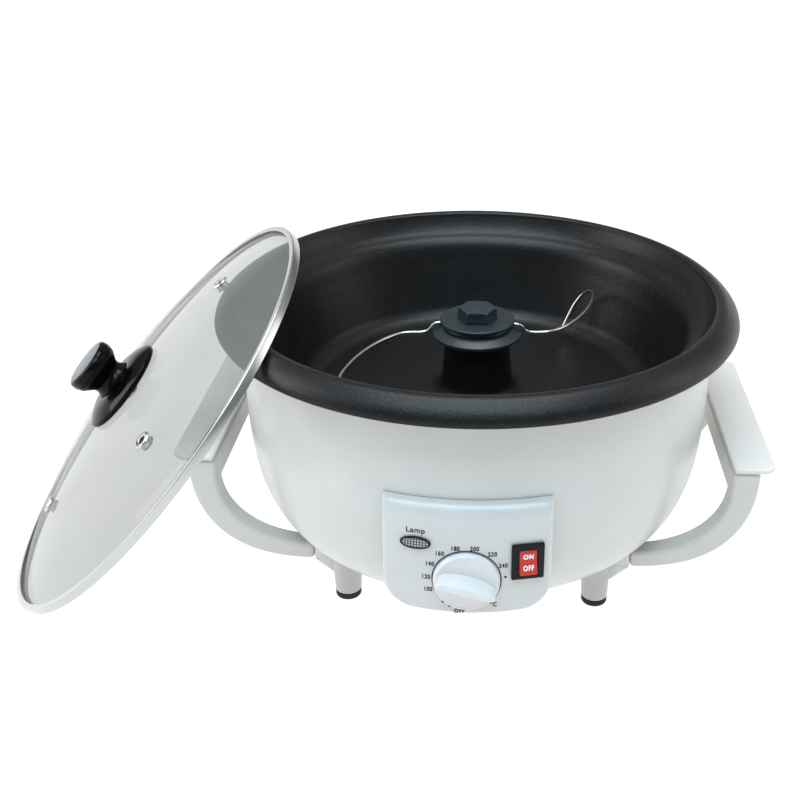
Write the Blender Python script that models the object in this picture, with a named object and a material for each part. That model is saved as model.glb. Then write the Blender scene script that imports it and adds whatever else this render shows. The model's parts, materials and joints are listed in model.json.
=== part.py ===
"""Countertop drum roaster with a stirred non-stick pan and a loose glass lid.

Lengths are in metres, +Z is up. Everything is laid out around the pan's
upright axis with the counter at zero height, and the finished object is then
moved so that its origin is the bottom centre of its whole box.
"""
import bpy
import bmesh
from math import acos, asin, atan2, cos, degrees, hypot, pi, radians, sin, sqrt
from mathutils import Matrix, Vector

MM = 0.001

# Fits and mesh fineness
GAP = 0.3 * MM            # between pieces that touch
RUNNING_GAP = 0.35 * MM   # between pieces that move past each other
OVERRUN = 6 * MM          # how far a cutter passes through what it cuts
SHEET_BEVEL = 0.6 * MM
SMOOTH_ANGLE = radians(35)
LARGE_STEPS = 44
MEDIUM_STEPS = 20
SMALL_STEPS = 12

# Pan and rim
LIP_RADIUS = 160 * MM
LIP_HEIGHT = 164.3 * MM
RIM_SPAN_SHARE = 0.333
RIM_SPAN = LIP_RADIUS * RIM_SPAN_SHARE
RIM_BULGE = 21.8 * MM
RIM_POWER = 1.88
BAND_WIDTH = 10.5 * MM
STEP_WIDTH = 4.5 * MM
CREST_RADIUS = LIP_RADIUS - BAND_WIDTH
STEP_RADIUS = CREST_RADIUS - STEP_WIDTH
STEP_RISE = 9.7 * MM
LID_INSET = 8.2 * MM
LID_RADIUS = STEP_RADIUS - LID_INSET
LID_PLAY = 1.2 * MM
SEAT_DROP = 2.6 * MM
SEAT_WIDTH = 5 * MM
SEAT_FALL = 1 * MM
SHOULDER_ROUND = 4.4 * MM
FLOOR_FILLET = 14 * MM
PAN_SHEET = 2 * MM
BOSS_RADIUS = 20 * MM
BOSS_TAPER = 2 * MM
BOSS_FILLET = 11 * MM
BOSS_ROUND = 4 * MM
PAN_HOLE_RADIUS = 5.6 * MM

# Housing bowl and base
LIP_OVERHANG = 15.3 * MM
BOWL_RADIUS = LIP_RADIUS - LIP_OVERHANG
BOWL_DROP = 3 * MM
BASE_CLEARANCE = 17.5 * MM
BOWL_DEPTH = LIP_HEIGHT - BOWL_DROP - BASE_CLEARANCE
BOWL_SIDE_POWER = 4.99
BOWL_BASE_POWER = 4.22
BOWL_WALL = 2.5 * MM
BASE_HOLE_SHARE = 0.415
BASE_HOLE_RADIUS = BOWL_RADIUS * BASE_HOLE_SHARE
COVER_LAP = 11 * MM
COVER_RADIUS = BASE_HOLE_RADIUS + COVER_LAP
COVER_THICKNESS = 2.6 * MM
COVER_SCREW_CIRCLE = (BASE_HOLE_RADIUS + COVER_RADIUS) / 2
COVER_SCREW_COUNT = 3
COVER_SCREW_RADIUS = 1.6 * MM
COVER_SCREW_HEAD_RADIUS = 3.6 * MM
COVER_SCREW_HEAD = 2 * MM
SCREW_SOCKET_SHARE = 0.45
SCREW_TIP = 2.5 * MM

# Pan, as it follows the bowl
WALL_FOOT_SHARE = 0.76
PAN_WALL_FOOT_RADIUS = BOWL_RADIUS * WALL_FOOT_SHARE
PAN_DEPTH_SHARE = 0.4033
PAN_DEPTH = BOWL_DEPTH * PAN_DEPTH_SHARE
BOSS_DROP_SHARE = 0.3966
BOSS_DROP = PAN_DEPTH * BOSS_DROP_SHARE

# Lid
LID_BAND_HEIGHT = 5.2 * MM
LID_BAND_SHEET = 0.6 * MM
LID_BAND_LIP = 4.2 * MM
GLASS_THICKNESS = 3 * MM
GLASS_FLAT = 4 * MM
DOME_RISE_SHARE = 0.1637
DOME_RISE = LID_RADIUS * DOME_RISE_SHARE
DOME_POWER = 2.3
GLASS_HOLE_RADIUS = 3.4 * MM
VENT_CIRCLE_SHARE = 0.625
VENT_CIRCLE = LID_RADIUS * VENT_CIRCLE_SHARE
VENT_HOLE_RADIUS = 3.9 * MM
VENT_TUBE = 1 * MM
VENT_FLANGE_RADIUS = 6.2 * MM
VENT_FLANGE = 0.8 * MM
VENT_COUNT = 3
VENT_FIRST = radians(11.5)
VENT_PITCH = radians(90)
SKIRT_RADIUS = 29.2 * MM
SKIRT_EDGE = 3.1 * MM
SKIRT_RISE = 7.9 * MM
SKIRT_STEPS = 28
KNOB_RADIUS = 16.2 * MM
KNOB_HEIGHT = 19.4 * MM
KNOB_SHAPE = (             # radius and height from foot to crown, as shares of the knob's
    (0.8, 0),
    (0.7, 0.1),
    (0.67, 0.19),
    (0.69, 0.29),
    (0.83, 0.44),
    (0.94, 0.57),
    (1, 0.74),
    (1, 0.84),
    (0.97, 0.95),
    (0.9, 1),
)
KNOB_FOOT_RADIUS = KNOB_RADIUS * KNOB_SHAPE[0][0]
LID_SCREW_RADIUS = 2.4 * MM
LID_SCREW_HEAD_RADIUS = 5 * MM
LID_SCREW_HEAD = 2.2 * MM
LID_SCREW_GRIP = 8 * MM
WASHER_RADIUS = 9 * MM
WASHER_THICKNESS = 1.2 * MM
LID_TILT = radians(48.2)
LID_TURN = radians(193.4)
LID_BEARING = radians(189.56)
RIM_POINTS = 240

# Legs
LEG_CIRCLE_SHARE = 0.738
LEG_CIRCLE = BOWL_RADIUS * LEG_CIRCLE_SHARE
LEG_RADIUS = 8.4 * MM
LEG_FOOT_RADIUS = 7.9 * MM
FOOT_HEIGHT = 4 * MM
FOOT_RADIUS = 7.8 * MM
FOOT_ROUND = 1.2 * MM
FOOT_PLUG_RADIUS = 4 * MM
FOOT_PLUG_HEIGHT = 6 * MM
LEG_TAPER_SHARE = 0.55

# Handles
FINGER_GAP = 8.6 * MM
GRIP_THICKNESS = 16.8 * MM
HANDLE_INNER = BOWL_RADIUS + FINGER_GAP
HANDLE_OUTER = HANDLE_INNER + GRIP_THICKNESS
HANDLE_WIDTH_SHARE = 0.4907
HANDLE_HALF_WIDTH = BOWL_RADIUS * HANDLE_WIDTH_SHARE
HANDLE_ARM_WIDTH = 14 * MM
HANDLE_SEAM_SHARE = 0.6676
HANDLE_SEAM = BOWL_RADIUS * HANDLE_SEAM_SHARE
HANDLE_FOOT_RISE = 3.3 * MM
ARM_FOOT_DEPTH = 10.4 * MM
ARM_DROP = 13.2 * MM
GRIP_DEPTH = 17.6 * MM
HANDLE_FOOT = BASE_CLEARANCE + HANDLE_FOOT_RISE
HANDLE_FOOT_TOP = HANDLE_FOOT + ARM_FOOT_DEPTH
HANDLE_TOP_SHARE = 0.5411
HANDLE_TOP = LIP_HEIGHT * HANDLE_TOP_SHARE
HANDLE_SHOULDER = HANDLE_TOP - ARM_DROP
GRIP_UNDERSIDE = HANDLE_TOP - GRIP_DEPTH
OUTER_POWER = 2.42
INNER_POWER = 2.12
HANDLE_BEVEL = 1.2 * MM
PLATE_INSET = 0.6 * MM
PLATE_BRIM = 8.8 * MM
PLATE_INNER = HANDLE_INNER + PLATE_INSET
PLATE_OUTER = HANDLE_OUTER + PLATE_BRIM
PLATE_THICKNESS = 2.9 * MM
PLATE_OVERHANG = 1.3 * MM
PLATE_CORNER = 8.5 * MM
PLATE_BACK_CORNER = 3 * MM
PLATE_TAIL = 4 * MM
PLATE_BEVEL = 0.9 * MM
BRACKET_LENGTH = 26.6 * MM
BRACKET_DROP = 7 * MM
BRACKET_SLOPE = 12.6 * MM
BRACKET_INNER = HANDLE_SEAM - BRACKET_LENGTH
BRACKET_FOOT = BASE_CLEARANCE - BRACKET_DROP
BRACKET_SLOPE_START = HANDLE_SEAM - BRACKET_SLOPE
BRACKET_BEVEL = 0.8 * MM

# Control panel
PANEL_STANDOFF = 8.3 * MM
PANEL_RADIUS = BOWL_RADIUS + PANEL_STANDOFF
PANEL_HALF_WIDTH = 45.2 * MM
PANEL_MIDDLE_SHARE = 0.4872
PANEL_MIDDLE = LIP_HEIGHT * PANEL_MIDDLE_SHARE
PANEL_HEIGHT = 66.7 * MM
PANEL_FOOT = PANEL_MIDDLE - PANEL_HEIGHT / 2
PANEL_TOP = PANEL_FOOT + PANEL_HEIGHT
PANEL_CORNER = 15.5 * MM
PANEL_SAG = 2.4 * MM       # by which the foot's middle hangs below its ends
PANEL_WALL = 2.4 * MM
PANEL_EDGE_ROUND = 2.4 * MM
COVE_DROP = 6.6 * MM
COVE_ROUND = 3 * MM
PANEL_BURY = 22.7 * MM
PANEL_BACK_RADIUS = BOWL_RADIUS - PANEL_BURY
PANEL_STEPS = 10
WINDOW_SIDE = 8.2 * MM
WINDOW_SILL = 8.3 * MM
WINDOW_HEAD = 11.4 * MM
WINDOW_HALF_WIDTH = PANEL_HALF_WIDTH - WINDOW_SIDE
WINDOW_FOOT = PANEL_FOOT + WINDOW_SILL
WINDOW_TOP = PANEL_TOP - WINDOW_HEAD

# Lamp, switch, thermostat and knob
LAMP_ACROSS = 27 * MM
LAMP_DROP = 22.7 * MM
LAMP_HEIGHT = PANEL_TOP - LAMP_DROP
LAMP_HALF_WIDTH = 8.4 * MM
LAMP_HALF_HEIGHT = 3.8 * MM
LAMP_FLANGE = 1.1 * MM
LAMP_RIM = 1.4 * MM
LAMP_PLUG = 5 * MM
NEON_RADIUS = 2 * MM
NEON_LENGTH = 9 * MM
SWITCH_ACROSS = 32.1 * MM
SWITCH_RISE = 33.7 * MM
SWITCH_HEIGHT = PANEL_FOOT + SWITCH_RISE
SWITCH_WIDTH = 17.6 * MM
SWITCH_TALL = 21.7 * MM
SWITCH_FLANGE = 1.8 * MM
SWITCH_BODY_WIDTH = 13.4 * MM
SWITCH_BODY_TALL = 19.4 * MM
SWITCH_DEPTH = 19 * MM
ROCKER_WIDTH = 10.2 * MM
ROCKER_SWEEP = 8.1 * MM
ROCKER_PIVOT_DEPTH = 0.6 * MM
ROCKER_CORNER = radians(25)
ROCKER_BACK = radians(48)
ROCKER_VALLEY = 2.4 * MM
ROCKER_REST = radians(-9)   # the upper end pressed in
KNOB_ACROSS = 0 * MM
DIAL_RISE = 22.1 * MM
DIAL_HEIGHT = PANEL_FOOT + DIAL_RISE
DIAL_RADIUS = 18.2 * MM
DIAL_DISC = 2.4 * MM
DIAL_CHAMFER = 0.9 * MM
DIAL_SKIRT = 0.7 * MM
DIAL_GAP = 0.5 * MM
DIAL_GRIP_WIDTH = 6.6 * MM
DIAL_GRIP_TOP_WIDTH = 5.4 * MM
DIAL_GRIP_HEIGHT = 11.2 * MM
DIAL_GRIP_REACH = 17 * MM
DIAL_GRIP_ROOT = 1.2 * MM
DIAL_TURN = radians(15)
DIAL_STEPS = 32
DIAL_SHAFT_RADIUS = 2.2 * MM
DIAL_SHAFT_GRIP = 9 * MM
DIAL_SHAFT_TAIL = 8 * MM
THERMOSTAT_WIDTH = 27 * MM
THERMOSTAT_TALL = 24 * MM
THERMOSTAT_DEPTH = 15 * MM

# Stirrer and drive
HUB_SHARE = 0.2564
HUB_FLANGE_RADIUS = PAN_WALL_FOOT_RADIUS * HUB_SHARE
HUB_SINK = 2.4 * MM
HUB_FOOT_DROP = BOSS_DROP - HUB_SINK
HUB_EDGE = 1.8 * MM
HUB_NECK_INSET = 8.6 * MM
HUB_SHOULDER_INSET = 5.8 * MM
HUB_SHOULDER_RISE = 5.2 * MM
HUB_RISE = 8.2 * MM
HUB_NECK_RADIUS = HUB_FLANGE_RADIUS - HUB_NECK_INSET
HUB_SHOULDER_RADIUS = HUB_FLANGE_RADIUS - HUB_SHOULDER_INSET
HUB_SHOULDER_DROP = HUB_FOOT_DROP - HUB_SHOULDER_RISE
HUB_TOP_DROP = HUB_FOOT_DROP - HUB_RISE
HUB_SKIRT = 2.2 * MM
DISC_INSET = 4.8 * MM
DISC_RADIUS = HUB_FLANGE_RADIUS - DISC_INSET
DISC_THICKNESS = 2 * MM
DISC_ROUND = 0.6 * MM
NUT_ACROSS_CORNERS = 25 * MM
NUT_HEIGHT = 7 * MM
NUT_BORE_SHARE = 0.8
NUT_BEVEL = 0.5 * MM
SHAFT_RADIUS = 4 * MM
WIRE_RADIUS = 1.15 * MM
WIRE_ROOT = 11 * MM
WIRE_GROOVE_DEPTH = 3 * MM
WIRE_SINK = 1.5 * MM
WIRE_DROP = HUB_TOP_DROP + WIRE_SINK
WIRE_ROUTE_SHARES = (     # along and across the arm by the pan's radius, fall by its depth
    (0.1455, 0, 0),
    (0.2182, 0, 0),
    (0.25, 0.0036, 0.0295),
    (0.2773, 0.0109, 0.1066),
    (0.3182, 0.0164, 0.1383),
    (0.4091, 0.0291, 0.1383),
    (0.4909, 0.0909, 0.1383),
    (0.5636, 0.1909, 0.1383),
    (0.6273, 0.3182, 0.1383),
    (0.6727, 0.4545, 0.1383),
    (0.7, 0.5909, 0.1383),
    (0.6955, 0.7, 0.1723),
    (0.6545, 0.7636, 0.2744),
    (0.6, 0.7636, 0.4558),
    (0.5545, 0.7273, 0.6599),
    (0.5182, 0.6909, 0.8413),
)
WIRE_CUTS = 1             # runs between two of the route's points

# Heater, shield and motor
ELEMENT_SHARE = 0.691
ELEMENT_CIRCLE = PAN_WALL_FOOT_RADIUS * ELEMENT_SHARE
ELEMENT_RADIUS = 3.6 * MM
ELEMENT_OPENING = radians(50)
ELEMENT_POINTS = 22
ELEMENT_TAIL = 9 * MM
SHIELD_SPACE = 18 * MM
SHIELD_INSET = 6 * MM
SHIELD_DROP = PAN_DEPTH + SHIELD_SPACE
SHIELD_RADIUS = PAN_WALL_FOOT_RADIUS - SHIELD_INSET
SHIELD_SHEET = 1.2 * MM
SHIELD_EDGE_RISE = 9 * MM
SHIELD_EDGE_WIDTH = 5 * MM
SHIELD_HOLE_RADIUS = 9 * MM
POST_SHARE = 0.764
POST_CIRCLE = PAN_WALL_FOOT_RADIUS * POST_SHARE
POST_RADIUS = 4 * MM
POST_COUNT = 3
GEARBOX_RADIUS = 27 * MM
GEARBOX_HEIGHT = 14 * MM
GEARBOX_BEVEL = 1.5 * MM
MOTOR_RADIUS = 22 * MM
MOTOR_HEIGHT = 19 * MM
MOTOR_SCREW_CIRCLE = 20 * MM
MOTOR_SCREW_COUNT = 2
MOTOR_SCREW_DEPTH = 6 * MM
SHAFT_SEAT = 8 * MM

# Wiring pieces
INLET_RISE = 28.5 * MM
INLET_HEIGHT = BASE_CLEARANCE + INLET_RISE
INLET_RADIUS = 7.5 * MM
INLET_BORE = 3.6 * MM
INLET_FLANGE = 2.4 * MM
INLET_NECK_RADIUS = 5.4 * MM
INLET_NOSE = 7 * MM
BLOCK_WIDTH = 34 * MM
BLOCK_DEPTH = 14 * MM
BLOCK_HEIGHT = 11 * MM
BLOCK_BACK = 38 * MM
FUSE_RADIUS = 3.4 * MM
FUSE_LENGTH = 18 * MM
FUSE_ACROSS = 52 * MM

# Colours, as sRGB shares, with roughness and metallic share
FINISHES = {
    "white_bowl": ((0.86, 0.87, 0.85), 0.32, 0.0),
    "white_plastic": ((0.87, 0.88, 0.86), 0.45, 0.0),
    "white_gloss": ((0.85, 0.89, 0.93), 0.15, 0.0),
    "dial_white": ((0.93, 0.95, 0.96), 0.3, 0.0),
    "nonstick": ((0.035, 0.037, 0.042), 0.38, 0.3),
    "steel": ((0.72, 0.71, 0.69), 0.25, 1.0),
    "polished_steel": ((0.8, 0.8, 0.79), 0.12, 1.0),
    "glass": ((0.84, 0.87, 0.85), 0.04, 0.0),
    "black_gloss": ((0.012, 0.013, 0.015), 0.12, 0.0),
    "black_plastic": ((0.03, 0.03, 0.033), 0.4, 0.0),
    "hub_plastic": ((0.05, 0.075, 0.09), 0.45, 0.0),
    "black_rubber": ((0.015, 0.015, 0.017), 0.8, 0.0),
    "rocker_red": ((0.72, 0.05, 0.03), 0.3, 0.0),
    "lamp": ((0.32, 0.31, 0.33), 0.3, 0.0),
    "neon": ((0.9, 0.4, 0.15), 0.2, 0.0),
    "zinc": ((0.6, 0.6, 0.58), 0.35, 1.0),
    "ceramic": ((0.85, 0.83, 0.78), 0.6, 0.0),
}


def clear_scene():
    """Remove everything that a new file opens with."""
    for item in list(bpy.data.objects):
        bpy.data.objects.remove(item, do_unlink=True)


def finish(name, kind):
    """Make a piece's own material from its kind of finish."""
    colour, roughness, metallic = FINISHES[kind]
    made = bpy.data.materials.new(name)
    made.use_nodes = True
    shader = made.node_tree.nodes["Principled BSDF"]
    linear = [share ** 2.2 for share in colour]
    shader.inputs["Base Color"].default_value = (*linear, 1.0)
    shader.inputs["Roughness"].default_value = roughness
    shader.inputs["Metallic"].default_value = metallic
    if kind == "glass":
        shader.inputs["Transmission Weight"].default_value = 0.9
    return made


def empty(name, place=(0, 0, 0), turn=None, parent=None):
    """A bare frame that pieces hang from."""
    made = bpy.data.objects.new(name, None)
    bpy.context.collection.objects.link(made)
    made.parent = parent
    made.location = place
    if turn is not None:
        made.rotation_euler = turn
    return made


def add_piece(name, bm, kind, parent=None, place=(0, 0, 0), turn=(0, 0, 0)):
    """Turn a bmesh into a named, shaded object with its own material."""
    bmesh.ops.recalc_face_normals(bm, faces=bm.faces)
    mesh = bpy.data.meshes.new(name)
    bm.to_mesh(mesh)
    bm.free()
    mesh.shade_smooth()
    mesh.set_sharp_from_angle(angle=SMOOTH_ANGLE)
    made = bpy.data.objects.new(name, mesh)
    bpy.context.collection.objects.link(made)
    made.parent = parent
    made.location = place
    made.rotation_euler = turn
    if kind is None:
        made.hide_render = True
        made.display_type = 'WIRE'
    else:
        mesh.materials.append(finish(name, kind))
    return made


def boolean(target, other, operation='DIFFERENCE'):
    """Cut, meet or join a piece with another."""
    change = target.modifiers.new(operation.lower(), 'BOOLEAN')
    change.operation = operation
    change.solver = 'EXACT'
    change.object = other


def bevel(target, width, segments=2):
    """Round a piece's sharp edges."""
    change = target.modifiers.new("rounding", 'BEVEL')
    change.width = width
    change.segments = segments
    change.limit_method = 'ANGLE'
    change.angle_limit = SMOOTH_ANGLE


def arc(centre, radii, start, end, count):
    """Points on an ellipse, angles in degrees, both ends included."""
    points = []
    for step in range(count + 1):
        angle = radians(start + (end - start) * step / count)
        points.append((centre[0] + radii[0] * cos(angle), centre[1] + radii[1] * sin(angle)))
    return points


def even_points(curve, count, fine=400):
    """Spread points evenly along curve(share), where share runs from 0 to 1."""
    dense = [curve(step / fine) for step in range(fine + 1)]
    run = [0.0]
    for first, second in zip(dense, dense[1:]):
        run.append(run[-1] + hypot(second[0] - first[0], second[1] - first[1]))
    points, at = [], 0
    for step in range(count + 1):
        want = run[-1] * step / count
        while at < fine - 1 and run[at + 1] < want:
            at += 1
        share = (want - run[at]) / (run[at + 1] - run[at])
        points.append(tuple(a + (b - a) * share for a, b in zip(dense[at], dense[at + 1])))
    return points


def offset(profile, distance):
    """Move an open profile sideways, to its right for a positive distance."""
    moved = []
    for index, (x, y) in enumerate(profile):
        before = profile[max(index - 1, 0)]
        after = profile[min(index + 1, len(profile) - 1)]
        normals = []
        for (ax, ay), (bx, by) in ((before, (x, y)), ((x, y), after)):
            length = hypot(bx - ax, by - ay)
            if length > 0:
                normals.append(((by - ay) / length, (ax - bx) / length))
        nx = sum(n[0] for n in normals) / len(normals)
        ny = sum(n[1] for n in normals) / len(normals)
        size = nx * nx + ny * ny
        moved.append((x + distance * nx / size, y + distance * ny / size))
    return moved


def height_on(profile, radius):
    """Height of a profile at a radius, by straight runs between its points."""
    for (ra, za), (rb, zb) in zip(profile, profile[1:]):
        if min(ra, rb) <= radius <= max(ra, rb) and ra != rb:
            return za + (zb - za) * (radius - ra) / (rb - ra)
    return profile[-1][1]


def turned(name, loop, kind, steps=MEDIUM_STEPS, sweep=2 * pi, **where):
    """Spin a closed (radius, height) loop about Z."""
    bm = bmesh.new()
    ring = [bm.verts.new((radius, 0, height)) for radius, height in loop]
    edges = [bm.edges.new((a, b)) for a, b in zip(ring, ring[1:] + ring[:1])]
    full = sweep >= 2 * pi
    if not full:
        face = bm.faces.new(ring)
        bmesh.ops.rotate(bm, verts=ring, cent=(0, 0, 0), matrix=Matrix.Rotation(-sweep / 2, 3, 'Z'))
        edges = [face]
    bmesh.ops.spin(bm, geom=ring + edges, axis=(0, 0, 1), cent=(0, 0, 0), steps=steps, angle=sweep,
                   use_merge=full, use_duplicate=False)
    bmesh.ops.remove_doubles(bm, verts=bm.verts, dist=GAP / 100)
    bmesh.ops.dissolve_degenerate(bm, edges=bm.edges, dist=GAP / 100)
    if full:
        flat = [edge for edge in bm.edges if len(edge.link_faces) == 0]
        bmesh.ops.delete(bm, geom=flat, context='EDGES')
    return add_piece(name, bm, kind, **where)


def prism(name, outline, low, high, kind, axis='Y', **where):
    """Extrude a closed outline of (first, second) points between two levels."""
    def corner(first, second, level):
        return {'X': (level, first, second), 'Y': (first, level, second), 'Z': (first, second, level)}[axis]
    bm = bmesh.new()
    face = bm.faces.new([bm.verts.new(corner(a, b, low)) for a, b in outline])
    grown = bmesh.ops.extrude_face_region(bm, geom=[face])
    moved = [item for item in grown["geom"] if isinstance(item, bmesh.types.BMVert)]
    bmesh.ops.translate(bm, verts=moved, vec=corner(0, 0, high - low))
    return add_piece(name, bm, kind, **where)


def box(name, low, high, kind, **where):
    """A block between two corners."""
    outline = [(low[0], low[1]), (high[0], low[1]), (high[0], high[1]), (low[0], high[1])]
    return prism(name, outline, low[2], high[2], kind, axis='Z', **where)


def rod(name, radius, low, high, kind, steps=SMALL_STEPS, **where):
    """A plain round bar along Z."""
    return turned(name, [(0, low), (radius, low), (radius, high), (0, high)], kind, steps, **where)


def wire(name, points, radius, kind, resolution=2, parent=None):
    """A round wire along a list of points, closed at both ends."""
    curve = bpy.data.curves.new(name, 'CURVE')
    curve.dimensions = '3D'
    curve.bevel_depth = radius
    curve.bevel_resolution = resolution
    curve.use_fill_caps = True
    line = curve.splines.new('POLY')
    line.points.add(len(points) - 1)
    for spot, point in zip(line.points, points):
        spot.co = (*point, 1)
    curve.materials.append(finish(name, kind))
    made = bpy.data.objects.new(name, curve)
    bpy.context.collection.objects.link(made)
    made.parent = parent
    return made


def smooth_route(points, between):
    """Add points between a route's own on one smooth curve."""
    route = [Vector(point) for point in points]
    ends = [2 * route[0] - route[1]] + route + [2 * route[-1] - route[-2]]
    smooth = []
    for a, b, c, d in zip(ends, ends[1:], ends[2:], ends[3:]):
        for step in range(between):
            t = step / between
            smooth.append(0.5 * ((2 * b) + (c - a) * t + (2 * a - 5 * b + 4 * c - d) * t ** 2
                                 + (3 * b - a - 3 * c + d) * t ** 3))
    return smooth + [route[-1]]


# Pan
def pan_profile(cuts=2):
    """The pan's upper surface from lip to shaft hole, heights from the counter."""
    seat_radius = LID_RADIUS + LID_PLAY
    seat_inner = seat_radius - SEAT_WIDTH
    floor_radius = PAN_WALL_FOOT_RADIUS - FLOOR_FILLET
    end = acos((1 - (LIP_RADIUS - CREST_RADIUS) / RIM_SPAN) ** (RIM_POWER / 2))
    band = even_points(lambda share: (
        LIP_RADIUS - RIM_SPAN + RIM_SPAN * cos(end * share) ** (2 / RIM_POWER),
        RIM_BULGE * sin(end * share) ** (2 / RIM_POWER)), 2 * cuts)
    crest = band[-1][1]
    roll = arc((CREST_RADIUS, STEP_RISE), (CREST_RADIUS - STEP_RADIUS, crest - STEP_RISE), 90, 180, cuts + 1)[1:]
    seat = [(seat_radius, -SEAT_DROP), (seat_inner, -SEAT_DROP - SEAT_FALL)]
    shoulder = [(seat_inner - SHOULDER_ROUND, -SEAT_DROP - SEAT_FALL - SHOULDER_ROUND)]
    fillet = arc((floor_radius, FLOOR_FILLET - PAN_DEPTH), (FLOOR_FILLET, FLOOR_FILLET), 0, -90, 3)
    foot = BOSS_RADIUS + BOSS_TAPER
    rise = arc((foot + BOSS_FILLET, BOSS_FILLET - PAN_DEPTH), (BOSS_FILLET, BOSS_FILLET), -90, -180, cuts)
    top = arc((BOSS_RADIUS - BOSS_ROUND, -BOSS_DROP - BOSS_ROUND), (BOSS_ROUND, BOSS_ROUND), 0, 90, cuts)
    hole = [(PAN_HOLE_RADIUS, -BOSS_DROP)]
    whole = band + roll + seat + shoulder + fillet + rise + top + hole
    return [(radius, LIP_HEIGHT + rise_) for radius, rise_ in whole]


def pan_underside():
    """The pan's lower surface, one sheet thickness from the upper one."""
    return offset(pan_profile(1), -PAN_SHEET)


def make_pan(parent):
    upper, lower = pan_profile(), pan_underside()
    lower[0] = (LIP_RADIUS - PAN_SHEET, LIP_HEIGHT)
    lower[-1] = (PAN_HOLE_RADIUS, LIP_HEIGHT - BOSS_DROP - PAN_SHEET)
    turned("roasting_pan", upper + lower[::-1], "nonstick", LARGE_STEPS, parent=parent)


# Housing bowl
def bowl_height(radius):
    """Height of the bowl's outer surface at a radius, on its lower half."""
    side = (radius / BOWL_RADIUS) ** (BOWL_SIDE_POWER / 2)
    return LIP_HEIGHT - BOWL_DROP - BOWL_DEPTH * sqrt(1 - side * side) ** (2 / BOWL_BASE_POWER)


def bowl_profile(count, end_radius):
    """The bowl's outer surface from its widest line down to a radius."""
    end = acos((end_radius / BOWL_RADIUS) ** (BOWL_SIDE_POWER / 2))

    def outline(share):
        angle = end * share
        return (BOWL_RADIUS * cos(angle) ** (2 / BOWL_SIDE_POWER),
                LIP_HEIGHT - BOWL_DROP - BOWL_DEPTH * sin(angle) ** (2 / BOWL_BASE_POWER))
    return even_points(outline, count, fine=4000)


def bowl_cutter(parent):
    """The bowl's full outer form, grown by one gap, for pieces that hug it."""
    line = [(BOWL_RADIUS, LIP_HEIGHT + OVERRUN)] + bowl_profile(12, BASE_HOLE_RADIUS)
    grown = offset(line, -GAP) + [(0, line[-1][1] - GAP), (0, LIP_HEIGHT + OVERRUN)]
    return turned("bowl_form", grown, None, LARGE_STEPS, parent=parent)


def make_bowl(parent):
    wall = [point for point in pan_underside() if point[0] < STEP_RADIUS + PAN_SHEET]
    seat = height_on(wall, BOWL_RADIUS - BOWL_WALL) - GAP
    outer = [(BOWL_RADIUS, seat)] + bowl_profile(12, BASE_HOLE_RADIUS)
    inner = offset([(BOWL_RADIUS, seat)] + bowl_profile(7, BASE_HOLE_RADIUS), BOWL_WALL)
    inner[-1] = (BASE_HOLE_RADIUS, inner[-1][1])
    bowl = turned("housing_bowl", outer + inner[::-1], "white_bowl", LARGE_STEPS, parent=parent)
    window = box("panel_window", (-WINDOW_HALF_WIDTH, -BOWL_RADIUS - OVERRUN, WINDOW_FOOT),
                 (WINDOW_HALF_WIDTH, -PANEL_BACK_RADIUS, WINDOW_TOP), None, parent=parent)
    boolean(bowl, window)
    inlet = rod("inlet_hole", INLET_NECK_RADIUS + GAP, -OVERRUN, 2 * OVERRUN, None, parent=parent,
                place=inlet_place(), turn=inlet_turn())
    boolean(bowl, inlet)
    for index in range(COVER_SCREW_COUNT):
        hole = rod(f"bowl_screw_hole_{index + 1}", COVER_SCREW_RADIUS + GAP, 0, screw_reach(), None,
                   SMALL_STEPS, parent=parent, place=on_circle(COVER_SCREW_CIRCLE, screw_angle(index)))
        boolean(bowl, hole)


def on_circle(radius, angle, height=0):
    """A place at a radius and angle about the pan's axis."""
    return (radius * cos(angle), radius * sin(angle), height)


def screw_reach():
    """Height to which the holes for the cover's screws are cut."""
    return bowl_height(COVER_SCREW_CIRCLE) + BOWL_WALL + OVERRUN


def screw_angle(index):
    return 2 * pi * index / COVER_SCREW_COUNT + pi / 2


def make_base(parent):
    """Round cover under the bowl and its screws."""
    top = bowl_height(BASE_HOLE_RADIUS) - GAP
    low = top - COVER_THICKNESS
    loop = [(0, low), (COVER_RADIUS - SHEET_BEVEL, low), (COVER_RADIUS, low + SHEET_BEVEL),
            (COVER_RADIUS, top), (0, top)]
    cover = turned("bottom_cover", loop, "white_plastic", LARGE_STEPS, parent=parent)
    for index in range(COVER_SCREW_COUNT):
        place = on_circle(COVER_SCREW_CIRCLE, screw_angle(index))
        hole = rod(f"cover_screw_hole_{index + 1}", COVER_SCREW_RADIUS + GAP, 0, screw_reach(), None,
                   parent=parent, place=place)
        boolean(cover, hole)
        head = low - GAP
        tip = bowl_height(COVER_SCREW_CIRCLE) + BOWL_WALL + SCREW_TIP
        socket = COVER_SCREW_HEAD_RADIUS * SCREW_SOCKET_SHARE
        loop = [(0, head - COVER_SCREW_HEAD / 2), (socket, head - COVER_SCREW_HEAD / 2),
                (socket, head - COVER_SCREW_HEAD), (COVER_SCREW_HEAD_RADIUS - SHEET_BEVEL, head - COVER_SCREW_HEAD),
                (COVER_SCREW_HEAD_RADIUS, head - COVER_SCREW_HEAD + SHEET_BEVEL), (COVER_SCREW_HEAD_RADIUS, head),
                (COVER_SCREW_RADIUS, head), (COVER_SCREW_RADIUS, tip), (0, tip)]
        turned(f"cover_screw_{index + 1}", loop, "zinc", SMALL_STEPS, parent=parent, place=place)


# Legs, brackets and handles
def leg_place(side, front):
    """The upright axis of a leg: side is -1 or 1, front is -1 or 1."""
    return (side * LEG_CIRCLE * sqrt(0.5), front * LEG_CIRCLE * sqrt(0.5))


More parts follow.
